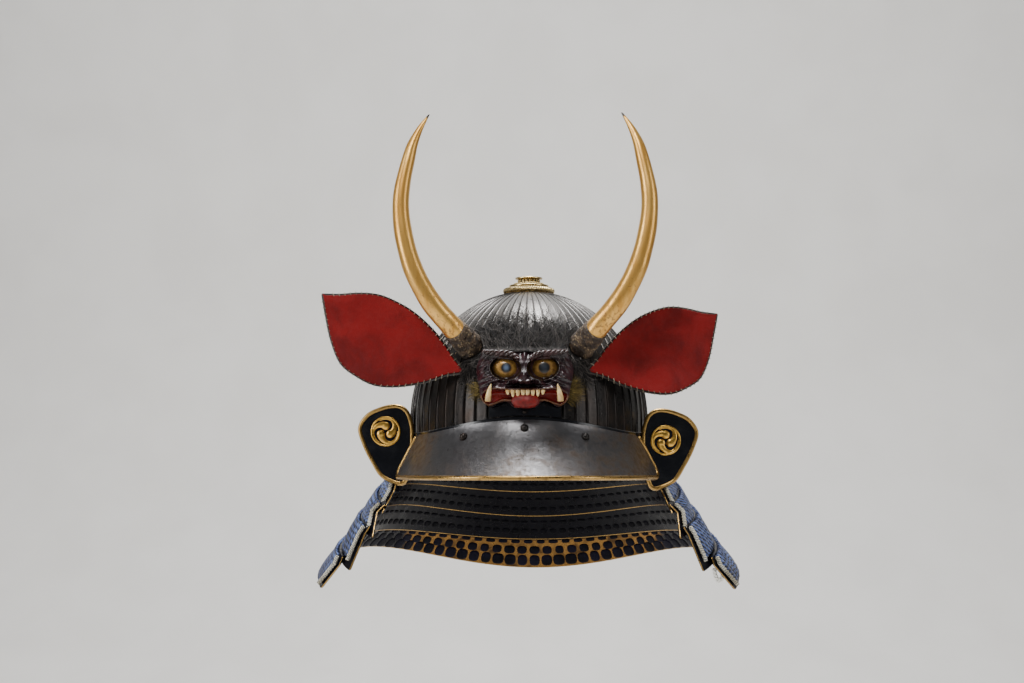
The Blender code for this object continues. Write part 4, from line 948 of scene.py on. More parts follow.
def makeEye(name, side, material):
    # a bulging eye behind its lids; ring = distance from the pupil's middle over its radius
    middle = np.array((side * mask["eye"][0] / 1000, 0.0, maskLevel(mask["eye"][1])))
    middle[1] = maskPoint(side * mask["eye"][0], mask["eye"][1])[1] + eyeball["depth"]
    axes = np.array([[[eyeball["halfWidth"], 0, eyeball["cant"] * side], [0, 0, eyeball["halfHeight"]],
                      [0, -eyeball["bulge"], 0]]])
    points, faceSets, _ = balls([middle], axes, 48, 30)
    lidLevel = maskLevel(lidLine(np.abs(points[:, 0]) * 1000) + eyeball["lidGap"])
    points[:, 2] = np.minimum(points[:, 2], lidLevel)
    across, up, radius = eyeball["pupil"][name]
    ring = np.hypot(points[:, 0] - middle[0] - across, points[:, 2] - middle[2] - up) / radius
    marks = {"ring": ring, "glint": np.full(len(points), eyeball["glint"][name])}
    addPiece("mask_eye_" + name, points, faceSets, material, "brass_eye", ["eye_" + name], marks)


tusk = {"across": 28.9, "lean": 2.6, "foot": -18.8, "rise": 13.8, "radius": 0.0028, "knots": 26,
        "corners": 16}


def makeTusk(name, side, material):
    # a tusk that rises from the corner of the mouth and bends slightly inwards
    share = np.linspace(0, 1, tusk["knots"])
    path = maskPoint(side * (tusk["across"] - tusk["lean"] * share ** 1.5),
                     tusk["foot"] + tusk["rise"] * share)
    path[:, 1] = path[:, 1].min() + 0.0004 - 0.0016 * np.sin(share * np.pi * 0.6)
    radius = tusk["radius"] * np.clip(1 - share ** 1.4, 0.004, 1) ** 0.75 * (0.90 + 0.2 * share)
    points, faceSets, _ = tubes(path, radius, (0, -1, 0), tusk["corners"])
    addPiece("mask_tusk_" + name, points, faceSets, material, "bone", ["tusk_" + name],
             {"along": np.repeat(share, tusk["corners"])})
teeth = {"lengths": (4.4, 6.3, 7.0, 7.2, 7.1, 6.8, 5.8, 4.3), "spread": 14.2, "shift": 0.9, "gum": -9.4,
         "radius": 0.00196, "taper": 0.62, "knots": 16, "corners": 12}


def makeTeeth(material):
    # eight pointed pegs in an uneven row: round at the gum, narrow at the bite
    knots = teeth["knots"]
    drop = np.linspace(0, 1, knots)
    fullness = np.sqrt(np.clip(1 - (2 * drop - 1) ** 6, 0.02, 1))
    for number, tall in enumerate(teeth["lengths"]):
        across = teeth["spread"] * (2 * (number / (len(teeth["lengths"]) - 1)) - 1) + teeth["shift"]
        path = maskPoint(np.full(knots, across), np.full(knots, -13.0))
        path[:, 2] = maskLevel(teeth["gum"]) - tall / 1000 * drop
        path[:, 0] += 0.0004 * drop * np.sign(-across)
        path[:, 1] = maskPoint(across, -9.6)[1] + 0.0012 + 0.0006 * drop
        radius = teeth["radius"] * fullness * (1.0 - teeth["taper"] * drop ** 1.4)
        points, faceSets, _ = tubes(path, radius, (0, -1, 0), teeth["corners"], 0.8)
        name = "tooth_%d" % (number + 1)
        addPiece("mask_" + name, points, faceSets, material, "bone", [name],
                 {"along": np.repeat(drop, teeth["corners"])})
tongue = {"halfWidth": 0.0113, "depth": 0.0042, "halfHeight": 0.0060, "level": -18.6, "shift": 0.0010,
          "forward": 0.0036, "groove": 0.12, "rows": 40, "columns": 48}


def makeTongue(material):
    # a tongue that laps over the lower edge, with a shallow groove down its middle
    rows, columns = tongue["rows"], tongue["columns"]
    down, around = np.linspace(0.02, 0.98, rows)[:, None] * np.pi, turn * np.arange(columns) / columns
    x, y, z = np.sin(down) * np.cos(around), -np.sin(down) * np.sin(around), np.cos(down) + 0 * around
    groove = tongue["groove"] * np.exp(-(x / 0.10) ** 2) * (y < 0)
    place = np.array((tongue["shift"], maskPoint(0.0, -9.6)[1] + tongue["forward"],
                      maskLevel(tongue["level"])))
    points = place + np.stack([x * tongue["halfWidth"], (y + groove) * tongue["depth"] - 0.0010 * (1 - z),
                               z * tongue["halfHeight"]], -1)
    faceSets = [gridFaces(rows, columns, False, True), [list(range(columns))],
                [list(range((rows - 1) * columns, rows * columns))]]
    addPiece("mask_tongue", points, faceSets, material, "red_lacquer", ["tongue"])


hide = {
    "height": 0.036, "halfWidth": 0.0445, "strands": 4700, "knots": 6, "clumps": 90, "length": 0.0135,
    "radius": 0.00020, "fringe": 0.26, "flank": 0.20, "hornPlace": (0.0465, 0.0725), "hornGap": 0.0112,
    "padHalfWidth": 0.034, "padWall": 0.0012, "padShade": 0.02,
}
tuft = {
    "strands": {"left": 240, "right": 460}, "spread": {"left": 2.6,
                                                       "right": 4.4}, "level": -9.5, "root": 32.5,
    "length": 12.0, "knots": 10, "radius": 0.00014,
}


def strandMesh(paths, radius, reference):
    # hair: three-sided strands that taper to their tips, each with its own shade
    knots = paths.shape[1]
    taper = radius * np.sqrt(1 - np.linspace(0, 0.96, knots) ** 1.5)
    points, faceSets, _ = tubes(paths, taper[None, :], reference, 3)
    shade = np.repeat(chance.random(len(paths)) ** 3.0, knots * 3)
    return points, faceSets, {"shade": shade}


def makeHide(hair):
    # fine hair over the brow, in clumps that lie up and outwards over the bowl and thin out at the top;
    # a fringe follows the mask's upper edge and locks hang down each side of it
    base = maskLevel(24.0) + 0.0006
    count, clumps, knots = hide["strands"], hide["clumps"], np.linspace(0, 1, hide["knots"])[None, :]
    across = chance.uniform(-1, 1, (count, 1))
    start = chance.random((count, 1)) ** 2.4
    roof = hide["height"] * (0.80 - 0.42 * across ** 2)
    low = -0.0035 - 0.014 * softStep(np.abs(across), 0.78, 0.98)
    x0, z0 = hide["halfWidth"] * across * (0.86 + 0.14 * start), base + low + (roof - low) * start
    clump = chance.integers(0, clumps, (count, 1))
    lean = np.radians(40 * across + chance.normal(0, 20, clumps)[clump] + chance.normal(0, 15, (count, 1)))
    length = hide["length"] * (0.45 + 1.0 * chance.random((count, 1))) * (0.7
                                                                          + 0.6
                                                                          * chance.random(clumps)[clump])
    curl = np.radians(chance.normal(0, 20, clumps)[clump] + chance.normal(0, 16, (count, 1)))
    fringe = chance.random((count, 1)) < hide["fringe"]
    z0 = np.where(fringe, base - 0.003 + 0.009 * chance.random((count, 1)), z0)
    lean = np.where(fringe, lean + np.sign(across) * np.radians(62), lean)
    flank = chance.random((count, 1)) < hide["flank"]
    x0 = np.where(flank, np.sign(across) * (0.036 + 0.013 * chance.random((count, 1))), x0)
    z0 = np.where(flank, base - 0.020 * chance.random((count, 1)), z0)
    lean = np.where(flank, np.sign(across) * np.radians(150) + 0.4 * lean, lean)
    angle = lean + curl * knots
    x = x0 + length * knots * np.sin(angle)
    z = z0 + length * knots * np.cos(angle) * np.sign(0.3 + chance.random((count, 1)))
    clear = np.hypot(np.abs(x) - hide["hornPlace"][0], z - hide["hornPlace"][1]).min(1) > hide["hornGap"]
    front = 0.0145 * softStep(base - z, -0.0015, 0.003) * softStep(0.036 - np.abs(x), 0.0, 0.004)
    standing = 0.0010 + 0.0042 * chance.random((count, 1)) * (1 - 0.6 * start)
    offset = bowl["rib"] + 0.0005 + standing * np.sin(np.pi * (0.10 + 0.84 * knots)) + front
    paths = bowlFront(x, z, offset)[clear]
    points, faceSets, marks = strandMesh(paths, hide["radius"], unit(paths * (1, 1, 0.5)))
    addPiece("brow_hair", points, faceSets, hair, "dark_hair", (), marks, outward=False)


def makeHidePad(hair):
    # the low pad of hide under the hair, with a ragged upper edge
    base = maskLevel(24.0) + 0.0006
    share, span = np.linspace(0, 1, 13)[:, None], np.linspace(-1, 1, 49)[None, :]
    ragged = 0.60 + 0.10 * np.cos(span * 23.0) + 0.05 * np.cos(span * 41.0)
    lift = share * hide["height"] * (ragged - 0.30 * span ** 2)
    wide = hide["padHalfWidth"] * (1 + 0.06 * np.cos(share * 9 + span * 3))
    wall = hide["padWall"] * np.sin(np.pi * (0.2 + 0.75 * share)) * (1 - 0.7 * span ** 4)
    outer = bowlFront(span * wide, base + lift, bowl["rib"] + 0.0006 + wall)
    inner = bowlFront(span * wide, base + lift, bowl["rib"] + 0.0003 + 0 * wall)
    points, faceSets = shell(outer, inner, False)
    addPiece("brow_hide_pad", points, faceSets, hair, "dark_hair", ["brow_hide"],
             {"shade": np.full(len(points), hide["padShade"])})


def makeTufts(hair):
    # wiry curling hair that leaves the mask's edge sideways at each cheek, thicker on the right
    for name, side in sides.items():
        count, knots = tuft["strands"][name], np.linspace(0, 1, tuft["knots"])[None, :]
        level = chance.normal(0.0, tuft["spread"][name], (count, 1))
        fan = level / 8 + chance.normal(0.0, 0.5, (count, 1))
        root = tuft["root"] + chance.uniform(0, 6.0, (count, 1))
        length = (tuft["length"] - 0.6 * np.abs(level)) * (0.45 + 0.65 * chance.random((count, 1)))
        twist = 0.9 * np.sin(knots * 9 + 6.3 * chance.random((count, 1))) * knots
        x = root + length * knots + twist
        droop = 0.9 * np.cos(knots * 8 + 6.3 * chance.random((count, 1))) * knots
        z = tuft["level"] + level + fan * length * 0.45 * knots + droop
        lift = 0.0010 + 0.0050 * chance.random((count, 1)) * (1 - 0.4 * knots)
        paths = bowlFront(side * x / 1000, maskLevel(z), bowl["rib"] + holder["wall"] + lift)
        points, faceSets, marks = strandMesh(paths, tuft["radius"], (0.0, -1.0, 0.0))
        addPiece("cheek_hair_" + name, points, faceSets, hair, "dark_hair", ["cheek_tuft_" + name], marks,
                 outward=False)


horn = {
    "rootAngle": math.radians(31), "rootHeight": 0.565, "rise": 0.180, "spread": 0.044, "forward": 0.028,
    "radius": 0.0090, "cuffRadius": 0.0106, "cuffLength": 0.024,
    "share": (0.0, 0.13, 0.315, 0.57, 0.82, 0.92, 1.0), "spreads": (0.0, 0.45, 0.82, 1.0, 0.84, 0.69, 0.50),
    "forwards": (0.50, 0.80, 0.88, 0.80, 0.62, 0.52, 0.44),
    "radii": (1.0, 0.97, 0.87, 0.77, 0.55, 0.32, 0.06),
    "knots": 120, "leadKnots": 8, "corners": 40, "cuffKnots": 40, "cuffCorners": 64, "smoothing": 6,
    "lump": 0.00028, "grain": 0.00016,
}


def makeHorns(gold, cuffHide):
    # a bent horn on each side, smoothed where it leaves its root, and a lumpy cuff of hide round the root
    height = horn["rootHeight"] * bowl["height"]
    for name, side in sides.items():
        angle = side * horn["rootAngle"]
        axis = bowlNormal(angle, height)
        root = bowlPoint(np.array(angle), np.array(height), 0.0) + axis * bowl["rib"] * 0.6
        joint = root + axis * (horn["cuffLength"] + gap)
        share = np.linspace(0, 1, horn["knots"]) ** 0.93
        spread = smoothRead(horn["share"], horn["spreads"], share) * horn["spread"]
        forward = (smoothRead(horn["share"], horn["forwards"], share) - horn["forwards"][0]) * horn["forward"]
        path = joint + np.stack([side * spread, -forward, share * horn["rise"]], -1)
        lead = joint - axis * np.linspace(0.010, 0.001, horn["leadKnots"])[:, None]
        path = np.concatenate([lead, path])
        for _ in range(horn["smoothing"]):
            path[1:-1] = (path[:-2] + 2 * path[1:-1] + path[2:]) / 4
        radius = smoothRead(horn["share"], horn["radii"], share) * horn["radius"]
        radius = np.concatenate([np.full(horn["leadKnots"], horn["radius"]), radius])
        steps = pathLength(path)
        along = steps / steps[-1]
        wave = 1 + 0.012 * np.sin(along * 41) + 0.010 * np.sin(along * 17 + 1)
        points, faceSets, _ = tubes(path, radius * wave, (0, -1, 0.2), horn["corners"])
        addPiece("gilt_horn_" + name, points, faceSets, gold, "gilt_horn", ["horn_" + name],
                 {"along": np.repeat(along, horn["corners"])})

        share = np.linspace(0, 1, horn["cuffKnots"])
        path = root - axis * 0.001 + axis * (horn["cuffLength"] + 0.002) * share[:, None]
        swell = 1.10 - 0.16 * share - 0.5 * np.clip(share - 0.93, 0, 1)
        points, faceSets, uv = tubes(path, horn["cuffRadius"] * swell, (0, -1, 0.2), horn["cuffCorners"])
        out = unit(points - np.repeat(path, horn["cuffCorners"], axis=0))
        lumps = np.sin(uv[:, 0] * turn * 5 + 3 * np.sin(uv[:, 1] * 400)) * np.sin(uv[:, 1] * 700 + 2)
        rough = horn["lump"] * lumps + horn["grain"] * chance.normal(size=len(points))
        addPiece("horn_cuff_hide_" + name, points + out * rough[:, None], faceSets, cuffHide, "cuff_hide",
                 ["horn_cuff_" + name])


ear = {
    "length": 0.140, "upper": 0.0245, "lower": 0.0465, "cup": 0.007, "wall": 0.0016, "lining": 0.001,
    "inset": 0.0013, "rootAngle": math.radians(31), "rootHeight": 0.400, "standOff": 0.0011,
    "tilt": {"left": math.radians(28.8), "right": math.radians(22.5)},
    "sweep": {"left": math.radians(10), "right": math.radians(30)},
    "along": (0.0, 0.07, 0.16, 0.29, 0.42, 0.55, 0.67, 0.79, 0.90, 1.0),
    "uppers": (0.10, 0.26, 0.52, 0.80, 0.97, 1.00, 0.92, 0.66, 0.31, 0.02),
    "lowers": (0.05, 0.21, 0.50, 0.80, 0.98, 1.00, 0.94, 0.69, 0.37, 0.02),
    "stitchPitch": 0.0052, "stitchRadius": 0.00028, "stitchLean": 0.006,
    # a whipping stitch over the edge, row by row: lean share, inset from the edge, lift off the leather
    "stitchPath": ((-1.0, 0.0018, 0.0012), (-0.5, 0.0008, 0.0014), (0.0, -0.0004, 0.0004),
                   (0.5, -0.0004, -0.0012), (1.0, 0.0014, -0.0020)),
}


def earFrame(name, side):
    # the ear's root and its directions along, upward and forward
    height = ear["rootHeight"] * bowl["height"]
    root = bowlPoint(np.array(side * ear["rootAngle"]), np.array(height), bowl["rib"] + ear["standOff"])
    tilt, sweep = ear["tilt"][name], ear["sweep"][name]
    along = np.array((side * math.cos(tilt) * math.cos(sweep), math.cos(tilt) * math.sin(sweep),
                      math.sin(tilt)))
    upward = np.array((-side * math.sin(tilt), 0.0, math.cos(tilt)))
    upward = unit(upward - along * (upward @ along))
    forward = np.array((0.0, -1.0, 0.0))
    forward = unit(forward - along * (forward @ along) - upward * (forward @ upward))
    return root, along, upward, forward


def earPoint(name, side, place, bow, inset, lift):
    # a cupped leaf: bow runs from -1 at the lower edge to 1 at the upper; gentle waves in the leather
    place, bow = np.broadcast_arrays(np.asarray(place, float), np.asarray(bow, float))
    root, along, upward, forward = earFrame(name, side)
    reach = inset + (ear["length"] - 2 * inset) * place
    high = np.maximum(smoothRead(ear["along"], ear["uppers"], place) * ear["upper"] - inset, 0.0004)
    low = np.maximum(smoothRead(ear["along"], ear["lowers"], place) * ear["lower"] - inset, 0.0004)
    across = np.where(bow > 0, bow * high, bow * low)
    cup = ear["cup"] * np.sin(np.pi * np.minimum(place * 1.1, 1.0)) * bow ** 2
    wave = 0.0009 * np.sin(place * 9 + side) * np.cos(bow * 2.2) + 0.0005 * np.sin(place * 23 + bow * 4)
    depth = cup + wave * np.sin(np.pi * place) + lift
    return root + along * reach[..., None] + upward * across[..., None] + forward * depth[..., None]


def makeEars(back, lining, thread):
    for name, side in sides.items():
        place = ((1 - np.cos(np.linspace(0, np.pi, 91))) / 2)[:, None]
        bow = np.sin(np.linspace(-np.pi / 2, np.pi / 2, 41))[None, :]
        points, faceSets = shell(earPoint(name, side, place, bow, 0.0, 0.0),
                                 earPoint(name, side, place, bow, 0.0, -ear["wall"]), False)
        addPiece("ear_back_" + name, points, faceSets, back, "dark_leather", ["ear_" + name], sharp=50)
        top = ear["lining"] * (1 - 0.75 * np.abs(bow) ** 12) * np.ones(place.shape)
        points, faceSets = shell(earPoint(name, side, place, bow, ear["inset"], gap + top),
                                 earPoint(name, side, place, bow, ear["inset"], gap / 3), False)
        addPiece("ear_lining_red_" + name, points, faceSets, lining, "red_leather", ["ear_lining_" + name],
                 sharp=60)
        loops = []
        for edge in (-1, 1):
            dense = np.linspace(0.02, 0.985, 400)
            steps = pathLength(earPoint(name, side, dense, edge, 0.0, 0.0))
            count = int(steps[-1] / ear["stitchPitch"])
            at = np.interp((np.arange(count) + 0.5) * ear["stitchPitch"], steps, dense)
            over = [earPoint(name, side, at + lean * ear["stitchLean"], edge, inset, lift)
                    for lean, inset, lift in ear["stitchPath"]]
            loops.append(np.stack(over, 1))
        points, faceSets, _ = tubes(np.concatenate(loops), ear["stitchRadius"], earFrame(name, side)[1], 6)
        addPiece("ear_stitches_" + name, points, faceSets, thread, "dark_leather", outward=False)


guard = {
    "wall": 0.0022, "lap": 0.007, "gap": 0.0016, "lean": 0.85, "spread": 0.078, "drop": 0.128,
    "lacingWall": 0.002, "lacingGap": 0.001, "sideTurn": math.radians(62), "cornerCurve": 1.7,
    "wingPlane": 0.050, "wingWall": 0.002, "edge": 0.0007, "goldLeaf": 0.62,
    "waistTurn": math.radians(85), "waistBack": math.radians(20),
}
lames = [dict(zip(("spread", "waist", "back", "side", "corner", "upperEnd", "lowerEnd"), row)) for row in (
    (0.16, 0.10, 0.215, 0.190, 0.360, 70, 70), (0.41, 0.34, 0.390, 0.323, 0.505, 70, 62),
    (0.62, 0.32, 0.578, 0.475, 0.655, 63, 55), (0.83, 0.22, 0.760, 0.660, 0.860, 58, 58),
    (1.00, 0.08, 0.985, 0.785, 0.990, 63, 70))]


def lameEdge(number, around):
    # spread and height of a lame's lower edge at an angle from the back; it narrows at the waist
    row = lames[number]
    dip = np.cos(np.minimum(around / guard["sideTurn"], 1) * np.pi / 2) ** 2
    corner = math.pi - math.radians(row["lowerEnd"])
    share = np.clip((around - guard["sideTurn"]) / (corner - guard["sideTurn"]), 0, None)
    drop = np.where(around < guard["sideTurn"], row["side"] + (row["back"] - row["side"]) * dip,
                    row["side"] + (row["corner"] - row["side"]) * share ** guard["cornerCurve"])
    reach = np.where(around > guard["waistTurn"], corner, guard["waistBack"]) - guard["waistTurn"]
    waist = np.cos(np.minimum((around - guard["waistTurn"]) / reach, 1) * np.pi / 2) ** 2
    return row["spread"] * (1 - row["waist"] * waist) * guard["spread"], -drop * guard["drop"]


def lameRows(number, around):
    # spread and height of a lame's top row, its lap line and its lower edge
    edge = lameEdge(number, around)
    if number == 0:
        seat = np.full(np.shape(around), bandOuter + guard["gap"] / 2)
        return (seat, np.full(np.shape(around), -gap)), (seat, np.full(np.shape(around), -band["drop"])), edge
    _, (lapSpread, lapHeight), (endSpread, endHeight) = lameRows(number - 1, around)
    slope = (endSpread - lapSpread) / (lapHeight - endHeight)
    seat = endSpread + guard["wall"] + guard["gap"]
    return (seat - slope * guard["lean"] * guard["lap"], endHeight + guard["lap"]), (seat, endHeight), edge


def lameEnd(number, row):
    # angle from the back where a row of a lame ends; the first lames end behind the wings
    end = math.radians(lames[number]["lowerEnd" if row == 2 else "upperEnd"])
    if number == 0 or (number == 1 and row < 2):
        out = float(lameRows(number, np.array(math.pi - end))[row][0]) + guard["wall"]
        out += (guard["lacingGap"] + guard["lacingWall"]) * number
        end = math.acos((guard["wingPlane"] - guard["wingWall"] - 2 * gap) / (bowl["halfLength"] + out))
    return math.pi - end


def lamePoint(number, span, share, offset):
    # share 0 is the top row, 0.25 the lap line and 1 the lower edge; span runs -1 to 1 round the guard
    span, share = np.broadcast_arrays(np.asarray(span, float), np.asarray(share, float))
    rows = []
    for row in range(3):
        around = span * lameEnd(number, row)
        spread, height = lameRows(number, np.abs(around))[row]
        rows.append(oval(math.pi - around, spread + offset, height))
    upper, lower = (share / 0.25)[..., None], ((share - 0.25) / 0.75)[..., None]
    return np.where(share[..., None] < 0.25, rows[0] + (rows[1] - rows[0]) * upper,
                    rows[1] + (rows[2] - rows[1]) * lower)


def lameNormal(number, span, share):
    near = 0.004
    return surfaceNormal(lambda first, second: lamePoint(number, first, second, 0.0), span, share, near, near)


def arcLength(number, share):
    # length of a lame from end to end at a share of its height
    span = np.linspace(-1, 1, 400)
    return np.linalg.norm(np.diff(lamePoint(number, span, share, 0.0), axis=0), axis=1).sum()


def makeLames(lacquer, gilt, thread, lowestThread):
    # curved plates with a gilt lower edge; gold leaf lies inside the lowest and fades to its corners
    span = np.linspace(-1, 1, 181)
    share = np.concatenate([np.linspace(0, 0.25, 4)[:-1], np.linspace(0.25, 1.0, 13)])[:, None]
    for number in range(5):
        outer = lamePoint(number, span[None, :], share, guard["wall"])
        inner = lamePoint(number, span[None, :], share, 0.0)
        gold = np.zeros(outer.shape[:2])
        if number == 4:
            gold = softStep(np.abs(span), 0.50, 0.34) * softStep(share, 0.26, 0.30) * guard["goldLeaf"]
        marks = {"gold": np.concatenate([np.zeros(gold.size), gold.ravel()])}
        points, faceSets = shell(outer, inner, False)
        addPiece("lame_plate_%d" % (number + 1), points, faceSets, lacquer, "black_lacquer",
                 ["lame_%d" % (number + 1)], marks, sharp=50)
        ends = np.linspace(-0.997, 0.997, 260)
        path = lamePoint(number, ends, 0.998, guard["wall"] * 0.4)
        points, faceSets, _ = tubes(path, guard["edge"], lameNormal(number, ends, 0.99), 8)
        addPiece("lame_edge_%d" % (number + 1), points, faceSets, gilt, "gilt_copper", outward=False)
        if number:
            # painted shade: lames 2 to 4 take a darker thread than the lowest lame
            makeStitches(number, lowestThread if number == 4 else thread)


# Rows of stitches inside lames 2 to 5: share down the lame, half width and half height
stitches = {
    "rows": {1: ((0.50, 0.0035, 0.0014), (0.80, 0.0034, 0.0022)),
             2: ((0.50, 0.0036, 0.0015), (0.80, 0.0036, 0.0024)),
             3: ((0.46, 0.0037, 0.0015), (0.76, 0.0038, 0.0030)),
             4: ((0.33, 0.0046, 0.0020), (0.55, 0.0049, 0.0043), (0.82, 0.0058, 0.0058))},
    "pitch": {1: 0.0096, 2: 0.0096, 3: 0.0096, 4: 0.0127}, "reach": 0.97, "thickness": 0.0007,
    "uneven": 0.06, "square": 0.72,
}


def makeStitches(number, thread):
    # lacing seen from inside: flat bars, then round knots, then rounded squares, row under row
    near = 0.004
    centres, axes = [], []
    for order, (share, wide, tall) in enumerate(stitches["rows"][number]):
        count = int(arcLength(number, share) * stitches["reach"] / stitches["pitch"][number])
        shift = 0.5 if order % 2 else 0.0
        span = (np.arange(count) + shift - (count - 1) / 2) * (2 * stitches["reach"]) / count
        normal = lameNormal(number, span, share)
        along = unit(lamePoint(number, span + near, share, 0.0) - lamePoint(number, span - near, share, 0.0))
        down = unit(np.cross(along, normal))
        jitter = 1 + stitches["uneven"] * chance.normal(size=(len(span), 1))
        centres.append(lamePoint(number, span, share, -0.0001))
        axes.append(np.stack([along * wide * jitter, down * tall, normal * stitches["thickness"]], 1))
    points, faceSets, _ = balls(np.concatenate(centres), np.concatenate(axes), 14, 6, stitches["square"])
    addPiece("lame_stitches_%d" % (number + 1), points, faceSets, thread, "blue_silk")


lacing = {
    "pitch": 0.0066, "radius": 0.0036, "flat": 0.50, "knots": 10, "hem": 0.003, "reach": 0.970,
    "lift": 0.0006, "slack": 0.0007, "sway": 0.0005, "uneven": 0.06,
    "braid": 0.0017, "braidAt": 0.988, "braidPitch": 0.0105, "braidLift": 0.0026, "bound": 0.30,
}
looseLoop = {"foot": (0.985, 0.55), "start": (-0.0017, 0, 0.0035), "inward": (-0.0036, 0, 0),
             "hang": (0, -0.002, -0.0095), "radius": 0.0019, "strands": 2, "pitch": 0.006, "knots": 30}


def makeLacing(silk, edging, gilt, white):
    # close rows of fat braids down the outside of each lame, tucked under the lame below, and a
    # pale braid beside each front edge, which is bound in gilt
    knots = lacing["knots"]
    for number in range(1, 5):
        lap, edge = lameRows(number, np.array(1.2))[1:]
        hem = lacing["hem"] if number == 4 else guard["lap"] + 0.0004
        reach = float(0.25 + 0.75 * (1 - hem / (lap[1] - edge[1])))
        count = int(arcLength(number, 0.6) * 0.99 / lacing["pitch"])
        span = np.linspace(-lacing["reach"], lacing["reach"], count)[:, None]
        share = np.concatenate([np.linspace(0.03, 0.25, 3), np.linspace(0.25, reach, knots - 2)[1:]])[None, :]
        paths = lamePoint(number, span, share, guard["wall"] + guard["lacingGap"] + lacing["lift"])
        normal = lameNormal(number, span + 0 * share, np.clip(share, 0.02, 0.97) + 0 * span)
        slack = lacing["slack"] * np.sin(np.pi * np.linspace(0, 1, knots))[None, :, None]
        along = unit(np.gradient(paths, axis=0))
        phase = 6 * chance.random((count, 1, 1))
        sway = lacing["sway"] * np.sin(np.linspace(0, 9, knots)[None, :, None] + phase)
        paths = paths + normal * slack * (0.6 + 0.8 * chance.random((count, 1, 1))) + along * sway
        bulge = 1 + lacing["uneven"] * chance.normal(size=(count, 1))
        points, faceSets, uv = tubes(paths, lacing["radius"] * bulge * np.ones((1, knots)), normal, 8,
                                     lacing["flat"])
        addPiece("lacing_braids_%d" % (number + 1), points, faceSets, silk, "blue_silk",
                 ["lacing_%d" % (number + 1)], uv=uv, outward=False)
        parts, bound = [], []
        for side in (-1, 1):
            share = np.linspace(0.04, min(reach + 0.05, 0.99), 60)
            normal = lameNormal(number, np.full(60, side * lacing["braidAt"]), np.clip(share, 0.02, 0.97))
            path = lamePoint(number, side * lacing["braidAt"], share, guard["wall"] + lacing["braidLift"])
            parts.append(rope(path, lacing["braid"], 3, lacing["braidPitch"], normal, 6))
            share = np.linspace(0.03, 0.995, 40)
            path = lamePoint(number, side * 0.999, share, guard["wall"] / 2)
            bound.append(tubes(path, guard["wall"] * lacing["bound"], unit(path * (1, 1, 0)), 8)[:2])
        if number == 4:
            makeLooseLoop(white)
        points, faceSets, uv = joined(parts)
        addPiece("edge_braid_%d" % (number + 1), points, faceSets, edging, "blue_silk", uv=uv, outward=False)
        addPiece("front_edge_%d" % (number + 1), *joined(bound)[:2], gilt, "gilt_copper")


def makeLooseLoop(silk):
    # a half oval of white cord that hangs at the corner of the lowest lame
    start, inward, hang = (np.array(looseLoop[name]) for name in ("start", "inward", "hang"))
    swing = np.linspace(0, np.pi, looseLoop["knots"])[:, None]
    path = lamePoint(4, *looseLoop["foot"], guard["wall"]) + start
    path = path + inward * (1 - np.cos(swing)) + hang * np.sin(swing)
    points, faceSets, _ = rope(path, looseLoop["radius"], looseLoop["strands"], looseLoop["pitch"],
                               (0, 1, 0), 6)
    addPiece("loose_loop", points, faceSets, silk, "blue_silk")


wing = {
    "plane": 0.050, "height": 0.062, "width": 0.041, "foot": 0.0385, "wall": 0.002, "sweep": 0.007,
    "bend": 0.35, "lift": {"left": 0.0, "right": -0.004}, "rim": 0.0016, "middle": (0.55, 0.42),
    # height share, inner and outer edge
    "rows": ((0.00, 0.13, 0.27), (0.10, 0.06, 0.56), (0.30, 0.01, 0.75), (0.52, -0.02, 0.92),
             (0.72, -0.02, 1.01), (0.88, 0.04, 0.86), (0.96, 0.12, 0.62), (1.00, 0.24, 0.40)),
    "crestHeight": {"left": 0.68, "right": 0.62}, "crestAcross": {"left": 0.49, "right": 0.40},
}
# Sizes as shares of the crest's radius, thicknesses in metres
crest = {
    "radius": 0.0124, "ground": 0.94, "groundWall": 0.0006, "ring": 0.955, "ringWidth": 0.075,
    "ringFlat": 0.7, "steps": 160, "knots": 56, "sweep": math.radians(150), "start": 0.42,
    "swing": 0.44,
    "tail": 0.055, "swell": 0.195, "flat": 0.42, "headPlace": 0.37, "head": 0.285, "headHeight": 0.0016,
}


def wingPoint(side, lift, height, across):
    # a flat plate across the helmet that bends back towards its outer edge
    rim = 2 * wing["rim"] + 3 * gap
    start = math.acos(wing["plane"] / (bowl["halfLength"] + bandOuter))
    root = float(oval(start, bandOuter, 0.0)[0]) + rim
    back = wing["sweep"] * np.maximum(across - wing["bend"], 0.0) ** 2
    return np.stack(np.broadcast_arrays(side * (root + across * wing["width"]), -wing["plane"] + back,
                                        height * wing["height"] - wing["foot"] + lift), -1)


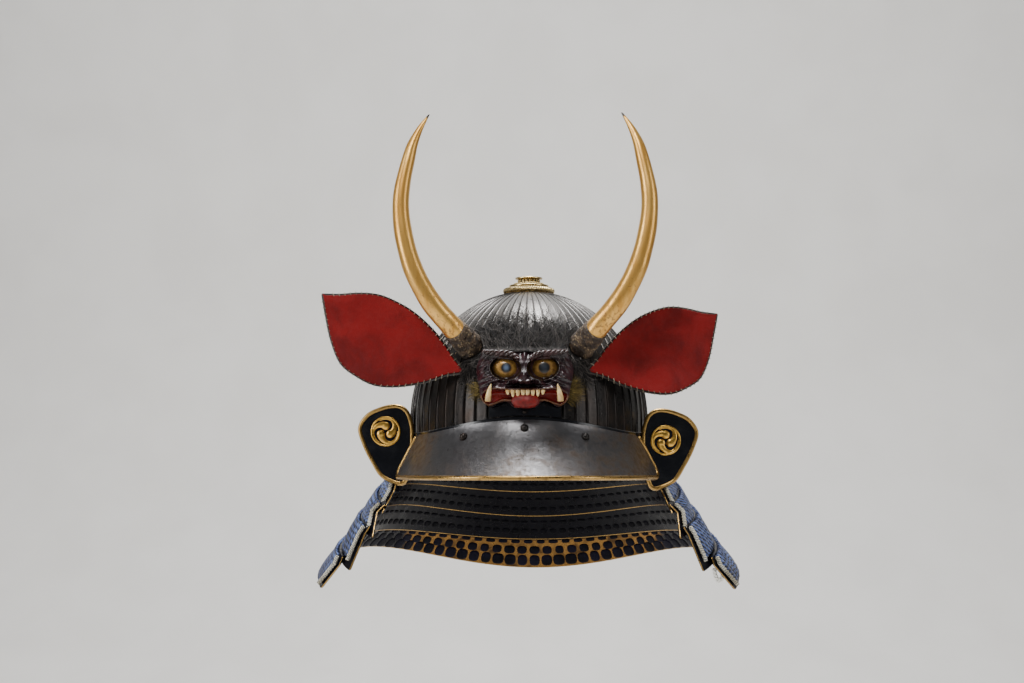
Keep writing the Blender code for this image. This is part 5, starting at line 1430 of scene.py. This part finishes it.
def makeWings(lacquer, gilt, bright):
    rows = wing["rows"]
    loop = [(height, outer) for height, _, outer in rows]
    loop += [(height, inner) for height, inner, _ in rows[::-1]]
    outline = smoothLoop(loop, 12)
    middle = np.array(wing["middle"])
    rings = np.linspace(0.0, 1.0, 15)[1:, None, None]
    plan = middle + (outline[None] - middle) * rings
    for name, side in sides.items():
        lift = wing["lift"][name]
        front = wingPoint(side, lift, plan[..., 0], plan[..., 1])
        points, faceSets = shell(front, front + np.array((0.0, wing["wall"], 0.0)), True)
        count, start = front.shape[1], front.size // 3
        faceSets = faceSets[:2] + [faceSets[3], [list(range(count))], [list(range(start, start + count))]]
        addPiece("wing_plate_" + name, points, faceSets, lacquer, "black_lacquer", ["wing_" + name], sharp=50)
        path = wingPoint(side, lift, outline[:, 0], outline[:, 1]) + np.array((0.0, wing["wall"] / 2, 0.0))
        centre = wingPoint(side, lift, middle[0], middle[1])
        path = path + unit((path - centre) * (1, 0, 1)) * wing["rim"] * 0.8
        points, faceSets, _ = tubes(path, wing["rim"] * 1.2, (0, 1, 0), 12, closed=True)
        addPiece("wing_rim_gilt_" + name, points, faceSets, gilt, "gilt_copper", ["wing_rim_" + name])
        place = wingPoint(side, lift, wing["crestHeight"][name], wing["crestAcross"][name])
        makeCrest(name, place, lacquer, bright)


def makeCrest(name, place, lacquer, gilt):
    # three fat commas whose heads nearly meet and whose tails sweep round into a thin ring, on black
    radius, wall, knots = crest["radius"], crest["groundWall"], crest["knots"]
    ground = radius * crest["ground"]
    disc = lathe([(0.0001, 0.0), (ground, 0.0), (ground, wall), (0.0001, wall)])
    circle = spun(radius * crest["ring"], turn * np.arange(crest["steps"]) / crest["steps"], 0.0009)
    parts = [tubes(circle, radius * crest["ringWidth"], (0, 0, 1), 8, crest["ringFlat"], closed=True)]
    share = np.linspace(0, 1, knots)
    for comma in range(3):
        spin = turn * (comma / 3 + 0.25) + share * crest["sweep"]
        path = spun(radius * (crest["start"] + crest["swing"] * softStep(share, 0.0, 0.66)), spin, 0.0008)
        width = radius * (crest["tail"] + crest["swell"] * (1 - softStep(share, 0.0, 0.80)))
        parts.append(tubes(path, width, (0, 0, 1), 14, crest["flat"]))
        head = (radius * crest["head"], radius * crest["head"], crest["headHeight"])
        parts.append(balls([spun(radius * crest["headPlace"], spin[0], 0.0007)], [np.diag(head)], 32, 12))
    for title, made, material, slot, replaced in (
            ("crest_ground_", disc, lacquer, "black_lacquer", ()),
            ("comma_crest_", joined(parts)[:2], gilt, "gilt_copper", ["crest_" + name])):
        points = made[0]
        turned = np.stack([points[:, 0], -points[:, 2], points[:, 1]], -1) + place - np.array((0, gap, 0))
        addPiece(title + name, turned, made[1], material, slot, replaced, sharp=50)


stage = {"level": -0.46, "size": 6.0, "flat": 1.2, "bend": 0.9, "top": 5.0, "paper": "e6e4e0",
         "shade": "cfccc7",
         "sky": "e4e6ea", "skyStrength": 0.17}


def paperSweep():
    # matt white paper with faint clouds
    made, add, where = newMaterial("paperSweep")
    colour = add("mix", add("step", add("noise", where, 6.0, 3.0), 0.3, 0.7, 0.0, 0.25), stage["paper"],
                 stage["shade"])
    setShader(made, colour, 0.85)
    return made


def makeStage():
    # a paper floor that bends up into a wall behind the helmet
    low, size, flat, bend = stage["level"], stage["size"], stage["flat"], stage["bend"]
    profile = [(-size, low), (flat, low)]
    profile += [(flat + bend * math.sin(s * math.pi / 2), low + bend * (1 - math.cos(s * math.pi / 2)))
                for s in np.linspace(0, 1, 25)[1:]]
    profile.append((flat + bend, stage["top"]))
    rows = np.array([[(x, y, z) for y, z in profile] for x in (-size, size)])
    mesh = fillMesh("backdrop", rows, [gridFaces(2, len(profile))])
    mesh.materials.append(paperSweep())
    backdrop = bpy.data.objects.new("backdrop", mesh)
    bpy.context.scene.collection.objects.link(backdrop)


def addLight(name, place, aim, size, watts, mirrored=True):
    # a soft box; one that isn't mirrored lights the piece without showing in its gloss
    data = bpy.data.lights.new(name, "AREA")
    data.shape = "RECTANGLE"
    data.size, data.size_y = size
    data.energy = watts
    light = bpy.data.objects.new(name, data)
    light.location = place
    light.rotation_euler = (Vector(aim) - Vector(place)).to_track_quat("-Z", "Y").to_euler()
    light.visible_glossy = mirrored
    bpy.context.scene.collection.objects.link(light)


# Each light: place, size and watts
lights = {
    "topSoftbox": ((0.0, 0.15, 1.35), (0.45, 0.9), 30.0),
    "frontTopSoftbox": ((-0.25, -1.1, 1.25), (0.5, 0.5), 14.0),
    "leftSoftbox": ((-1.5, -0.9, 0.5), (0.45, 1.4), 21.0),
    "rightSoftbox": ((1.5, -0.8, 0.5), (0.45, 1.3), 8.0),
    "frontFill": ((0.2, -2.4, 0.1), (1.2, 0.9), 7.0),
    "backdropWash": ((0.0, 0.4, 2.6), (2.4, 0.6), 60.0),
}


def makeLights():
    # all lights but the wash on the wall aim at the mask, and the front fill stays out of the gloss
    for name, (place, size, watts) in lights.items():
        aim = (0.0, 2.0, 0.3) if name == "backdropWash" else (0.0, -0.05, 0.06)
        addLight(name, place, aim, size, watts, name != "frontFill")
    world = bpy.data.worlds.new("studio")
    bpy.context.scene.world = world
    world.use_nodes = True
    background = world.node_tree.nodes["Background"]
    background.inputs["Color"].default_value = linear(stage["sky"])
    background.inputs["Strength"].default_value = stage["skyStrength"]


def makeCamera():
    # the photograph's view: 1.3 m in front, 5 degrees below the helmet's middle
    view = {"place": (0.0373, -1.3019, -0.0296), "back": (0.03998, -0.99539, -0.08716), "lens": 51.9}
    data = bpy.data.cameras.new("photoCamera")
    data.lens = view["lens"]
    data.sensor_width = 36.0
    camera = bpy.data.objects.new("photoCamera", data)
    camera.location = view["place"]
    camera.rotation_euler = (-Vector(view["back"])).to_track_quat("-Z", "Y").to_euler()
    bpy.context.scene.collection.objects.link(camera)
    bpy.context.scene.camera = camera


makeCamera()
makeStage()
makeLights()
print("stage")
iron, plateIron, gilt = russetIron(), visorIron(), giltCopper("rimGilt", "a3834d", "5a4426")
lacquer, ivory, leather = blackLacquer(), ivoryLacquer(), darkLeather()
makeBowl(iron)
makeCrown(giltCopper("paleGilt", "b7a274", "54452b"))
makeBand(lacquer)
makeVisor(plateIron, gilt, iron)
makeHolder(lacquer, iron)
print("bowl and visor")
makeMask(maskLacquer(), eyeBrass(), ivory, redLacquer())
darkHair = animalHair("darkHair", "050404", "5c5652")
makeHide(darkHair)
makeHidePad(darkHair)
makeTufts(animalHair("paleHair", "3a3018", "8f7b45"))
print("mask and hair")
makeHorns(goldLeafHorn(), pebbledHide())
makeEars(leather, redLeather(), plainThread("whipThread", "5e5648", "a39a86"))
print("horns and ears")
# the stitches of lames 2 to 4 get a darker copy of the indigo thread, painted shade under the visor
makeLames(guardLacquer(), gilt, plainThread("shadedIndigoThread", "030307", "08070f"),
          plainThread("indigoThread", "06050c", "100e1e"))
makeLacing(braidedSilk("blueSilk", "050814", "1c2b5a", "50659c", 0.0046),
           braidedSilk("speckledSilk", "3d4552", "b9ad8c", "f0ead6", 0.0018), gilt,
           plainThread("whiteSilk", "d8d6ce", "f6f4ee"))
makeWings(lacquer, gilt, giltCopper("brightGilt", "d9ac55", "8a6228"))
print("guard and wings")
